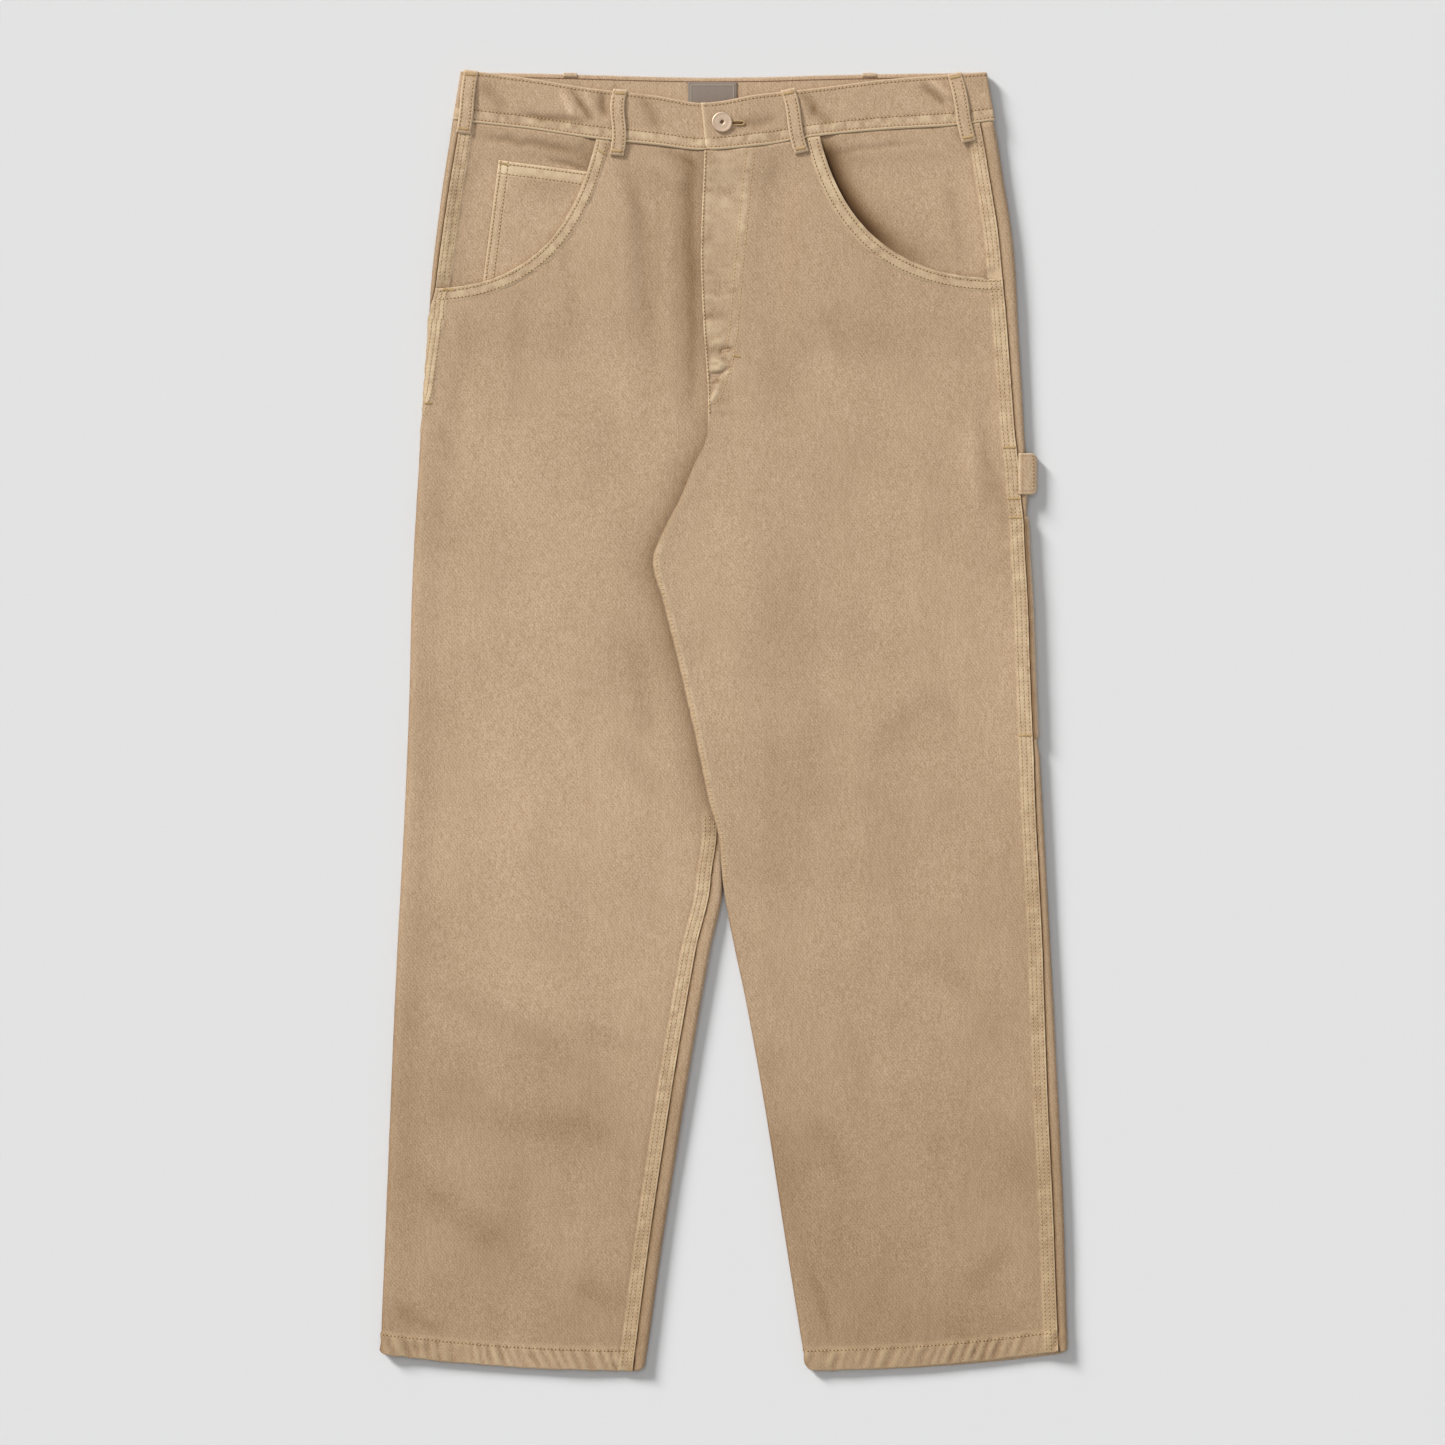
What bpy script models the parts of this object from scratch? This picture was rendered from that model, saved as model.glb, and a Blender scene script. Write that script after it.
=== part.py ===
"""Carpenter pants in heavy cotton twill, laid flat on their back with the front facing up.

X runs across the hips, Y from the hems to the waist, and Z up from the surface they lie on.
The wearer's right side is at -X. Sizes below are millimetres; a mesh is made in metres.

Each leg is a flattened tube. A section through it is a ring: over the top from the outer side
to the inner side, and back underneath. The seams cut every ring into a front and a back panel.
"""

import math

import bmesh
import bpy
import numpy as np

MM = 0.001

# The middle of the whole part's outline, which becomes the origin
CENTRE = (-0.97, 0.88, 0.0)

# Cloth and gaps
CLOTH = 1.2
SEAM_GAP = 0.3
SEAM_RELIEF = 0.6
SEAM_WIDTH = 11.0
HEM_RELIEF = 0.5

# How a leg lies: rounding of its sides and height of its layers
OUTER_ROUND = 2.7
INNER_ROUND = 2.1
LEG_LEVEL = 3.4
SIDE_RUN = 24.0
INNER_RUN = 15.0
INNER_CURL = 0.8

# Where layers stack up and lift the cloth above them
WAIST_LIFT = 1.7
WAIST_LEVEL = 5.9
POCKET_LEVEL = 6.2
FLY_RISE = 2.2
CROTCH_LIFT = 4.85
PATCH_LIFT = CLOTH + SEAM_GAP

# Lengths along the legs
HIP_ROWS = 5
POCKET_FOOT = 335.0
HIP_TO_CROTCH_ROWS = (322, 300, 270, 245, 232, 220, 205, 190, 176, 165, 150, 128)
THIGH_ROWS = (100, 60, 15, -16, -30, -75, -110, -145, -185, -235)
LEG_ROWS = HIP_TO_CROTCH_ROWS + THIGH_ROWS
SHIN_ROWS = (-290, -350, -410, -455, -484, -486, -503.4)
HEM_DROP = 15.4
HEM_TILT_FROM = -235.0
COLUMNS = 7

# Waistband
BAND_CLOTH = 2.0
BACK_BAND_HEIGHT = 38.8
BAND_UNDER = 1.5
BAND_TOP = 6.7
BAND_ROUND = 2.6
BAND_LAP_RISE = 2.3
BAND_LAP_END = 12.0
BAND_LAP_FLAT = 16.0
BAND_LAP_RUN = 30.0

# Colour (linear), roughness and metallic of each kind of surface
SLOTS = {
    "twill": ((0.48, 0.34, 0.22), 0.9, 0.0),
    "metal": ((0.62, 0.45, 0.32), 0.4, 1.0),
    "woven": ((0.30, 0.26, 0.22), 0.9, 0.0),
}


def table(columns, *rows):
    """Named columns, each a list that runs down the rows."""
    return {name: [row[i] for row in rows] for i, name in enumerate(columns.split())}


def curve(places, values):
    """A function that runs smoothly through the values, with no overshoot between them."""
    place = np.array(places, float)
    value = np.array(values, float)
    if place[0] > place[-1]:
        place, value = place[::-1], value[::-1]
    step = np.diff(place)
    rise = np.diff(value) / step
    slope = np.zeros(len(place))
    slope[0], slope[-1] = rise[0], rise[-1]
    both = rise[:-1] + rise[1:]
    turning = rise[:-1] * rise[1:] <= 0
    slope[1:-1] = np.where(turning, 0.0, 2 * rise[:-1] * rise[1:] / np.where(turning, 1.0, both))

    def read(at):
        at = np.clip(at, place[0], place[-1])
        k = np.clip(np.searchsorted(place, at) - 1, 0, len(step) - 1)
        t = (at - place[k]) / step[k]
        return (
            value[k] * (2 * t**3 - 3 * t**2 + 1)
            + slope[k] * step[k] * (t**3 - 2 * t**2 + t)
            + value[k + 1] * (3 * t**2 - 2 * t**3)
            + slope[k + 1] * step[k] * (t**3 - t**2)
        )

    return read


def ease(t):
    """0 up to t = 0, 1 from t = 1, and a soft S between."""
    t = np.clip(t, 0.0, 1.0)
    return t * t * (3 - 2 * t)


# The wearer's right leg, which lies underneath. outer and inner are its silhouettes. outseam, inseam
# and back_seam are how far in from a silhouette a seam lies: on top where positive, below where negative.
RIGHT = table(
    "y outer inner outseam inseam back_seam",
    (481, -217.0, -6.3, 6.4, 8.2, -2.6),
    (417, -226.8, -6.3, 5.6, 8.2, -2.6),
    (346, -234.8, -6.3, 4.0, 8.2, -2.6),
    (305, -237.2, -6.3, 0.0, 8.2, -2.6),
    (257, -240.6, -6.3, -4.0, 8.2, -2.6),
    (228, -242.6, -6.3, -8.0, 8.2, -2.6),
    (205, -244.2, -6.0, -10.0, 5.0, 0.0),
    (177, -246.0, -3.5, -12.0, 5.0, 5.0),
    (97, -250.0, -1.5, -12.0, 5.0, 5.0),
    (17, -252.0, -1.5, -12.0, 5.0, 5.0),
    (-87, -256.4, -1.0, -12.0, 5.0, 5.0),
    (-128, -258.6, -2.0, -12.0, 10.0, 10.0),
    (-183, -261.6, -11.0, -12.0, 12.0, 12.0),
    (-263, -265.2, -25.0, -12.0, 12.0, 12.0),
    (-343, -268.4, -38.0, -12.0, 11.5, 11.5),
    (-423, -271.6, -50.6, -12.0, 10.5, 10.5),
    (-521, -276.0, -64.0, -12.0, 9.6, 9.6),
)

# The wearer's left leg, which lies on top at the crotch.
LEFT = table(
    "y outer inner outseam inseam back_seam",
    (481, 215.4, -17.6, 12.0, 2.1, -9.0),
    (449, 220.4, -18.6, 11.2, 2.1, -10.0),
    (372, 231.6, -21.2, 11.2, 2.1, -12.6),
    (315, 234.8, -19.0, 9.2, 2.1, -10.4),
    (254, 238.6, -15.4, 8.4, 2.1, -6.8),
    (230, 239.6, -15.8, 7.6, 2.1, -7.2),
    (203, 241.2, -26.1, 6.0, 1.0, -1.0),
    (177, 242.2, -36.2, 5.2, 0.0, 0.0),
    (158, 243.4, -46.2, 4.4, 0.0, 0.0),
    (143, 244.2, -53.0, 4.6, 0.0, 0.0),
    (128, 245.2, -57.0, 4.8, 0.0, 0.0),
    (94, 247.4, -48.4, 5.0, 0.0, 0.0),
    (38, 249.4, -34.5, 5.2, 0.0, 0.0),
    (-24, 252.0, -20.6, 5.2, 0.0, 0.0),
    (-61, 254.0, -13.0, 6.0, 0.0, 0.0),
    (-95, 255.8, -4.2, 6.2, 0.0, 0.0),
    (-128, 257.6, -0.1, 6.2, -0.6, -0.6),
    (-175, 260.2, 6.8, 6.4, -2.0, -2.0),
    (-223, 262.8, 17.0, 7.4, -4.0, -4.0),
    (-319, 268.0, 34.0, 9.0, -7.0, -7.0),
    (-415, 272.2, 48.8, 8.8, -8.0, -8.0),
    (-521, 274.4, 65.6, 7.0, -8.0, -8.0),
)

# The height of each leg's rounded sides.
SIDES = table(
    "y outer_top right_inner_top",
    (481, 6.3, 4.2),
    (440, 6.2, 4.2),
    (330, 6.0, 4.2),
    (250, 5.6, 4.2),
    (-100, 5.6, 4.2),
    (-170, 5.4, 5.0),
    (-521, 5.2, 5.0),
)

# The waistband's edges across the front, and the back's top edge.
BAND = table(
    "x bottom top back_top",
    (-217, 480.6, 519.4, 519.4),
    (-200, 478.0, 518.6, 518.6),
    (-160, 473.6, 514.2, 518.0),
    (-104, 465.4, 505.4, 516.6),
    (-55, 460.2, 499.8, 515.2),
    (-16, 456.0, 493.8, 514.6),
    (30, 459.8, 501.0, 515.0),
    (74, 467.4, 505.8, 516.2),
    (130, 472.6, 512.8, 517.4),
    (185, 475.8, 516.8, 518.2),
    (216, 480.0, 518.6, 518.6),
)

# Pocket mouths, each a cubic curve from the waistband down to the side seam.
MOUTH_RIGHT = ((-102.8, 463.2), (-118.0, 400.0), (-150.0, 347.0), (-233.4, 345.8))
MOUTH_LEFT = ((76.4, 465.2), (92.0, 400.0), (132.0, 352.0), (224.0, 354.0))

# Belt loops across the front: where the upper end and the foot lie, and the height of the foot.
LOOP_WIDTH = 10.6
LOOP_BOW = 1.3
LOOP_CLOTH = 1.6
FRONT_LOOPS = table(
    "name top_x top_y foot_x foot_y foot_z",
    ("belt_loop_side_right", -199.2, 519.6, -208.4, 469.4, 7.3),
    ("belt_loop_front_right", -83.2, 504.6, -86.2, 451.8, 6.9),
    ("belt_loop_front_left", 50.2, 504.6, 61.6, 454.0, 6.9),
    ("belt_loop_side_left", 183.4, 517.4, 195.2, 462.8, 7.3),
)
BACK_LOOPS = table(
    "name x",
    ("belt_loop_back_right", -123.6),
    ("belt_loop_back_left", 116.0),
)
BACK_LOOP_FOOT = 466.0
BACK_LOOP_TURN = 3.4

# Patches
TOOL_TOP, TOOL_FOOT, TOOL_INSIDE = 163.6, -13.2, 128.0
HAMMER_TOP, HAMMER_FOOT, HAMMER_INSIDE = 214.0, 181.2, 165.0
HAMMER_REACH = 250.0
FACING_SINK = 3.0
FACING_FOOT = 332.0
FACING_REACH = table(
    "y right left",
    (470, -86.0, 64.0),
    (420, -97.0, 76.0),
    (390, -108.0, 94.0),
    (365, -122.0, 116.0),
    (330, -124.0, 124.0),
)
COIN_CORNERS = ((-180.4, 448.4), (-100.0, 437.8), (-128.0, 338.0), (-194.6, 338.0))
LABEL_LEFT, LABEL_RIGHT, LABEL_TOP, LABEL_FOOT = -29.2, 10.0, 510.8, 486.0
LABEL_CLOTH = 0.8
BUTTON_X, BUTTON_Y, BUTTON_RADIUS = -2.0, 478.0, 8.2


class Leg:
    """One leg's tables as functions of y. inward is the direction from its outer side to its inner.

    Where a patch is sewn over the outer side, the leg itself lies a patch's thickness further in."""

    def __init__(self, rows, inward, patched):
        self.inward = inward
        self.patched = patched
        self.edge = curve(rows["y"], rows["outer"])
        self.seam_inset = curve(rows["y"], rows["outseam"])
        for name in ("inner", "inseam", "back_seam"):
            setattr(self, name, curve(rows["y"], rows[name]))

    def under_patch(self, y):
        return PATCH_LIFT * ease((y + 30) / 14) * ease((176 - y) / 11) if self.patched else 0.0

    def outer(self, y):
        return self.edge(y) + self.inward * self.under_patch(y)

    def outseam(self, y):
        return self.seam_inset(y) - self.under_patch(y)


right_leg = Leg(RIGHT, 1, patched=False)
left_leg = Leg(LEFT, -1, patched=True)
outer_top = curve(SIDES["y"], SIDES["outer_top"])
right_inner_top = curve(SIDES["y"], SIDES["right_inner_top"])
band_bottom = curve(BAND["x"], BAND["bottom"])
band_top = curve(BAND["x"], BAND["top"])
back_band_top = curve(BAND["x"], BAND["back_top"])


def bezier(corners, t):
    """A point of a cubic curve, at t from 0 to 1."""
    a, b, c, d = (np.array(corner, float) for corner in corners)
    return a * (1 - t) ** 3 + 3 * b * t * (1 - t) ** 2 + 3 * c * t * t * (1 - t) + d * t**3


def mouth_y(corners):
    """The pocket mouth as a function of x."""
    points = np.array([bezier(corners, t) for t in np.linspace(0, 1, 40)])
    return curve(points[:, 0], points[:, 1])


mouth_right_y = mouth_y(MOUTH_RIGHT)
mouth_left_y = mouth_y(MOUTH_LEFT)


def base(leg, x, y):
    """The height of the leg's underside: 0 where it rests, more over layers that lie beneath it."""
    height = np.full(np.shape(x), WAIST_LIFT * ease((y - 430) / 34))
    if leg is left_leg:
        over_patch = ease((x - 60) / 30) * ease((y + 30) / 14) * ease((232 - y) / 12)
        across = 1 - ease((x - right_leg.inner(y) - 1.5) / 17)
        over_leg = ease((y + 162) / 44) * ease((250 - y) / 26) * across
        height = height + PATCH_LIFT * over_patch + CROTCH_LIFT * over_leg
    return height


def level(leg, x, y):
    """The height of the front cloth away from the leg's sides."""
    pocket = ease((np.abs(x + 10) - 52) / 20) * ease((y - 285) / 47)
    height = base(leg, x, y) * (1 - pocket) + LEG_LEVEL
    height = height + (POCKET_LEVEL - height) * pocket
    height = height + (WAIST_LEVEL - height) * ease((y - band_bottom(x) + 46) / 40)
    if leg is left_leg:
        height = height + FLY_RISE * (1 - ease((x - 14) / 26)) * ease((y - 228) / 30)
    return height


def ring(leg, y):
    """A section of the leg: points (x, z) from the outer silhouette over the top and back below,
    outward normals, lengths along it, and the index of the inner silhouette."""
    width = abs(leg.inner(y) - leg.outer(y))
    turn = np.linspace(0, math.pi / 2, 9)
    inset = np.linspace(OUTER_ROUND, width - INNER_ROUND, 90)[1:-1]
    x = leg.outer(y) + leg.inward * inset
    low_out, low_in = base(leg, leg.outer(y), y), base(leg, leg.inner(y), y)
    high_out = outer_top(y)
    if leg is right_leg:
        high_in = right_inner_top(y) + level(leg, leg.inner(y), y) - LEG_LEVEL
    else:
        high_in = level(leg, leg.inner(y), y) + INNER_CURL
    middle = level(leg, x, y)
    at_outer = 1 - ease((inset - OUTER_ROUND) / SIDE_RUN)
    at_inner = 1 - ease((width - INNER_ROUND - inset) / INNER_RUN)
    top = middle + (high_out - middle) * at_outer + (high_in - middle) * at_inner
    half_out, half_in = (high_out - low_out) / 2, (high_in - low_in) / 2
    out_inset, in_inset = OUTER_ROUND * (1 - np.cos(turn)), INNER_ROUND * (1 - np.cos(turn))
    insets = np.concatenate(
        (out_inset, inset, width - in_inset[::-1], width - in_inset[1:], inset[::-1], out_inset[:0:-1])
    )
    heights = np.concatenate(
        (
            low_out + half_out * (1 + np.sin(turn)),
            top,
            low_in + half_in * (1 + np.sin(turn[::-1])),
            low_in + half_in * (1 - np.sin(turn[1:])),
            base(leg, x, y)[::-1],
            low_out + half_out * (1 - np.sin(turn[:0:-1])),
        )
    )
    points = np.stack((insets, heights), axis=1)
    along = np.roll(points, -1, axis=0) - np.roll(points, 1, axis=0)
    along /= np.linalg.norm(along, axis=1)[:, None]
    normals = np.stack((-along[:, 1], along[:, 0]), axis=1)
    closed = np.vstack((points, points[:1]))
    lengths = np.concatenate(([0.0], np.cumsum(np.linalg.norm(np.diff(closed, axis=0), axis=1))))
    return {
        "points": closed,
        "normals": np.vstack((normals, normals[:1])),
        "lengths": lengths,
        "inner": 2 * len(turn) + len(inset) - 1,
        "width": width,
        "fall": width if leg is right_leg else width - (right_leg.inner(y) - leg.inner(y)),
    }


def seam_length(section, inset, side):
    """The length along the ring of a seam so far in from a silhouette, on top if inset is positive."""
    middle = section["inner"]
    insets, lengths = section["points"][:, 0], section["lengths"]
    wanted = abs(inset) if side == "outer" else section["width"] - abs(inset)
    if inset >= 0:
        return np.interp(wanted, insets[: middle + 1], lengths[: middle + 1])
    found = np.interp(wanted, insets[middle:][::-1], lengths[middle:][::-1])
    return found - lengths[-1] if side == "outer" else found


def columns_between(section, start, end, across=COLUMNS):
    """Places along a ring from start to end: close together at seams and silhouettes, even between."""
    total = section["lengths"][-1]
    middle = section["lengths"][section["inner"]]
    on_top = 0 <= (start + end) / 2 <= middle
    first, last = (0.0, middle) if on_top else (total, middle)
    step = 1 if end > start else -1
    wanted = [start, start + step * SEAM_WIDTH, start + step * (SEAM_WIDTH + 2)]
    wanted += [first + step * k for k in (-3.6, -1.4, 1.4, 3.6)]
    fall = last - step * max(18.0, section["width"] - section["fall"] + 20)
    wanted += list(np.linspace(first + step * 24, fall, across - 3))
    wanted += [fall + step * k * min(1.0, (last - fall) * step / 24) for k in (7, 13, 20)]
    wanted += [last + step * k for k in (-3.0, -1.2, 1.2, 3.0)]
    wanted += [end - step * (SEAM_WIDTH + 2), end - step * SEAM_WIDTH, end]
    span = abs(end - start)
    distance = np.sort(np.clip([(place - start) * step for place in wanted], 0, span))
    least = 0.6
    for k in range(1, len(distance)):
        distance[k] = max(distance[k], distance[k - 1] + least)
    distance[-1] = span
    for k in range(len(distance) - 2, -1, -1):
        distance[k] = min(distance[k], distance[k + 1] - least)
    return start + step * distance


def place(leg, section, y, length):
    """The point of a ring at one length along it, and the outward normal there."""
    total = section["lengths"][-1]
    length = length % total
    inset, height, across, up = (
        np.interp(length, section["lengths"], values)
        for values in (*section["points"].T, *section["normals"].T)
    )
    size = math.hypot(across, up)
    point = np.array((leg.outer(y) + leg.inward * inset, y, height))
    return point, np.array((leg.inward * across / size, 0.0, up / size))


def hem_y(row_y, share):
    """A row's y at a share of the way from the outer to the inner side: rows tilt toward the hem."""
    tilt = max(0.0, (HEM_TILT_FROM - row_y) / (HEM_TILT_FROM - SHIN_ROWS[-1]))
    return row_y - HEM_DROP * tilt * (1 - (1 - share) ** 2)


def front_rows(leg, mouth):
    """The front panel's rows as (y of each column, place of each column along the ring)."""
    rows = []
    gap = SEAM_GAP / 2

    def seam_places(y):
        section = ring(leg, y)
        start = seam_length(section, leg.outseam(y), "outer") + gap
        end = seam_length(section, leg.inseam(y), "inner") - gap
        return section, start, end

    for k in range(HIP_ROWS + 1):
        t = k / HIP_ROWS
        corner = bezier(mouth, t)
        section, seam, _ = seam_places(corner[1])
        start = max(seam_length(section, abs(corner[0] - leg.outer(corner[1])), "outer"), seam)
        inner_y = band_bottom(-16.0) + (POCKET_FOOT - band_bottom(-16.0)) * t
        section, _, end = seam_places(inner_y)
        places = columns_between(section, start, end)
        share = (places - start) / (end - start)
        y = corner[1] + (inner_y - corner[1]) * share
        if k == 0:
            x = np.array([place(leg, ring(leg, at), at, length)[0][0] for at, length in zip(y, places)])
            bend = band_bottom(x) - 3.4 * SEAM_GAP - y
        rows.append((y + bend * (1 - t), places))
    for row_y in LEG_ROWS + SHIN_ROWS:
        section, start, end = seam_places(row_y)
        share = (columns_between(section, start, end) - start) / (end - start)
        y = hem_y(row_y, share)
        places = []
        for k, at in enumerate(y):
            section, start, end = seam_places(at)
            places.append(columns_between(section, start, end)[k])
        rows.append((y, np.array(places)))
    return rows


def back_rows(leg):
    """The back panel's rows, from the side seam round below to the inseam or the centre back."""
    rows = []
    gap = SEAM_GAP / 2

    def seam_places(y):
        section = ring(leg, y)
        total = section["lengths"][-1]
        start = total + seam_length(section, leg.outseam(y), "outer") - gap
        end = seam_length(section, leg.back_seam(y), "inner") + gap
        return section, start, end

    top_rows = (478.0, 464, 440, 410, 375, 345.8)
    for row_y in top_rows + LEG_ROWS + SHIN_ROWS:
        section, start, end = seam_places(row_y)
        places = columns_between(section, start, end)
        share = (places - start) / (end - start)
        if row_y == top_rows[0]:
            x = np.array([place(leg, section, row_y, length)[0][0] for length in places])
            over = places > section["lengths"][-1]
            edge = np.where(over, np.minimum(band_bottom(x), back_band_bottom(x)), back_band_bottom(x))
            y = edge - SEAM_GAP
        else:
            y = hem_y(row_y, share)
        if row_y < HEM_TILT_FROM or row_y == top_rows[0]:
            places = []
            for k, at in enumerate(y):
                section, start, end = seam_places(at)
                places.append(columns_between(section, start, end)[k])
        rows.append((y, np.array(places)))
    return rows


def back_band_bottom(x):
    """The lower edge of the waistband's back half."""
    return back_band_top(x) - BACK_BAND_HEIGHT


def panel_grids(leg, rows, relief):
    """Outer points, inner points and normals of a panel. relief(y, seams) raises the outer points."""
    outer, inner, normals = [], [], []
    for y_row, places in rows:
        outer_row, inner_row, normal_row = [], [], []
        for y, length in zip(y_row, places):
            point, normal = place(leg, ring(leg, y), y, length)
            seams = (abs(length - places[0]), abs(length - places[-1]))
            facing_up = float(np.clip(1 + 2 * normal[2], 0, 1))
            outer_row.append(point + normal * relief(y, seams, y_row[0]) * facing_up)
            inner_row.append(point - normal * CLOTH)
            normal_row.append(normal)
        outer.append(outer_row)
        inner.append(inner_row)
        normals.append(normal_row)
    return np.array(outer), np.array(inner), np.array(normals)


def front_relief(y, seams, row_start):
    """How far a front panel's outer face stands up. seams are the distances from its two side edges,
    and row_start is the y at which the point's row begins: the last rows are the hem."""
    height = 0.0
    if seams[0] <= SEAM_WIDTH + 0.1:
        height = SEAM_RELIEF
    if seams[1] <= SEAM_WIDTH + 0.1:
        height = max(height, SEAM_RELIEF * float(ease((130 - y) / 20)))
    if row_start <= SHIN_ROWS[-2] + 0.1:
        height = max(height, HEM_RELIEF)
    return height


def back_relief(y, seams, row_start):
    """A back panel is plain on its outer face."""
    return 0.0


def wall(name, outer, inner, slot="twill"):
    """A closed sheet between two grids of points of the same shape."""
    rows, columns = outer.shape[:2]
    points = np.concatenate((outer.reshape(-1, 3), inner.reshape(-1, 3)))
    below = rows * columns
    faces = []
    for i in range(rows - 1):
        for j in range(columns - 1):
            a = i * columns + j
            face = (a, a + 1, a + columns + 1, a + columns)
            faces.append(face)
            faces.append(tuple(below + k for k in reversed(face)))
    rim = [j for j in range(columns)]
    rim += [i * columns + columns - 1 for i in range(1, rows)]
    rim += [(rows - 1) * columns + j for j in range(columns - 2, -1, -1)]
    rim += [i * columns for i in range(rows - 2, 0, -1)]
    for a, b in zip(rim, rim[1:] + rim[:1]):
        faces.append((b, a, below + a, below + b))
    return solid(name, points, faces, slot)


def solid(name, points, faces, slot):
    """One closed body with its own material. Points are millimetres in the drawing's frame."""
    mesh = bpy.data.meshes.new(name)
    mesh.from_pydata([tuple((point - CENTRE) * MM) for point in points], [], faces)
    work = bmesh.new()
    work.from_mesh(mesh)
    bmesh.ops.recalc_face_normals(work, faces=work.faces)
    work.to_mesh(mesh)
    work.free()
    colour, roughness, metallic = SLOTS[slot]
    material = bpy.data.materials.new(name)
    material.use_nodes = True
    shader = material.node_tree.nodes["Principled BSDF"]
    shader.inputs["Base Color"].default_value = (*colour, 1.0)
    shader.inputs["Roughness"].default_value = roughness
    shader.inputs["Metallic"].default_value = metallic
    mesh.materials.append(material)
    made = bpy.data.objects.new(name, mesh)
    collection.objects.link(made)
    return made


def facing_sink(leg, mouth_height, x, y, from_seam):
    """How far a pocket facing lies below the front panel's level."""
    sink = ease(from_seam / 22)
    edge = mouth_height(x)
    sink = max(sink, float(ease((edge + 16 - y) / 14)))
    visible = ease((y - edge - 16) / 36)
    at_waist = ease((y - band_bottom(x) + 30) / 28) * visible
    deepest = FACING_SINK - 1.5 * ease((y - 434) / 28)
    return deepest * sink * (1 - at_waist)


def make_facing(name, leg, mouth_height, reach):
    """A hip piece from the side seam to a little way under the front panel."""
    outer, normals = [], []
    foot_y = FACING_FOOT
    for t in (0.0, 0.1, 0.25, 0.45, 0.6, 0.7, 0.78, 0.84, 0.9, 1.0):
        row, normal_row = [], []
        y = 470 + (foot_y - 470) * t
        for share in np.linspace(0, 1, 13):
            for _ in range(3):
                hidden = ease((366 - y) / 12)
                section = ring(leg, y)
                start = seam_length(section, leg.outseam(y), "outer") + SEAM_GAP / 2 + 8 * hidden
                end = seam_length(section, abs(reach(y) - leg.outer(y)), "outer")
                length = start + (end - start) * share**1.2
                x = place(leg, section, y, length)[0][0]
                y = band_bottom(x) - SEAM_GAP
                y = y + (foot_y - y) * t
            point, normal = place(leg, ring(leg, y), y, length)
            from_seam = length - start + 8 * hidden
            point[2] -= facing_sink(leg, mouth_height, point[0], y, from_seam)
            row.append(point)
            normal_row.append(normal)
        outer.append(row)
        normals.append(normal_row)
    outer, normals = np.array(outer), np.array(normals)
    wall(name, outer, outer - normals * CLOTH)
    return outer


def facing_height(leg, mouth_height, x, y):
    """The height of a pocket facing over (x, y)."""
    section = ring(leg, y)
    inset = abs(x - leg.outer(y))
    middle = section["inner"] + 1
    top = np.interp(inset, section["points"][:middle, 0], section["points"][:middle, 1])
    return top - facing_sink(leg, mouth_height, x, y, inset - leg.outseam(y))


def make_patch_on(name, height, corners, rows, columns, gap, cloth):
    """A flat patch with four corners, laid on a surface whose height is known."""
    a, b, c, d = (np.array(corner) for corner in corners)
    outer = np.zeros((rows, columns, 3))
    for i, v in enumerate(np.linspace(0, 1, rows)):
        for j, u in enumerate(np.linspace(0, 1, columns)):
            x, y = (a * (1 - u) + b * u) * (1 - v) + (d * (1 - u) + c * u) * v
            outer[i, j] = x, y, height(x, y) + gap
    inner = outer.copy()
    outer[:, :, 2] += cloth
    wall(name, outer, inner)


def band_stations():
    """The waistband's path seen from its lower edge: (x, z, normal x, normal z, back share)."""
    low, high = BAND_UNDER, BAND_TOP
    half = (high - low) / 2
    left_end, right_end = BAND["x"][0], BAND["x"][-1]
    stations = []
    for x in (BAND_LAP_END, -5, -20, -50, -80, -110, -140, -170, -190, -204, left_end + BAND_ROUND):
        stations.append((x, high, 0, 1, 0.0))
    for angle in (30, 60, 90, 120, 150):
        a = math.radians(angle)
        x = left_end + BAND_ROUND * (1 - math.sin(a))
        stations.append((x, low + half * (1 + math.cos(a)), -math.sin(a), math.cos(a), angle / 180))
    for x in (left_end + BAND_ROUND, -200, -165, -125, -80, -40, 0, 40, 80, 125, 165, 200):
        stations.append((x, low, 0, -1, 1.0))
    stations.append((right_end - BAND_ROUND, low, 0, -1, 1.0))
    for angle in (150, 120, 90, 60, 30):
        a = math.radians(angle)
        x = right_end - BAND_ROUND * (1 - math.sin(a))
        stations.append((x, low + half * (1 + math.cos(a)), math.sin(a), math.cos(a), angle / 180))
    lap = (46, 38, 31, 24, 16, 8, 0, -8, -16.5)
    for x in (right_end - BAND_ROUND, 200, 185, 165, 140, 115, 90, 65) + lap:
        rise = BAND_LAP_RISE * (1 - float(ease((x - BAND_LAP_FLAT) / BAND_LAP_RUN)))
        stations.append((x, high + rise, 0, 1, 0.0))
    return stations


def band_point(x, back, share):
    """x and y of the waistband at a share of its height, leaning in toward the waist at both sides."""
    foot = band_bottom(x) * (1 - back) + back_band_bottom(x) * back
    head = band_top(x) * (1 - back) + back_band_top(x) * back
    lean = 6.2 * ease((-165 - x) / 50) - 6.5 * ease((x - 165) / 50)
    return x + lean * share, foot + (head - foot) * share


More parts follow.
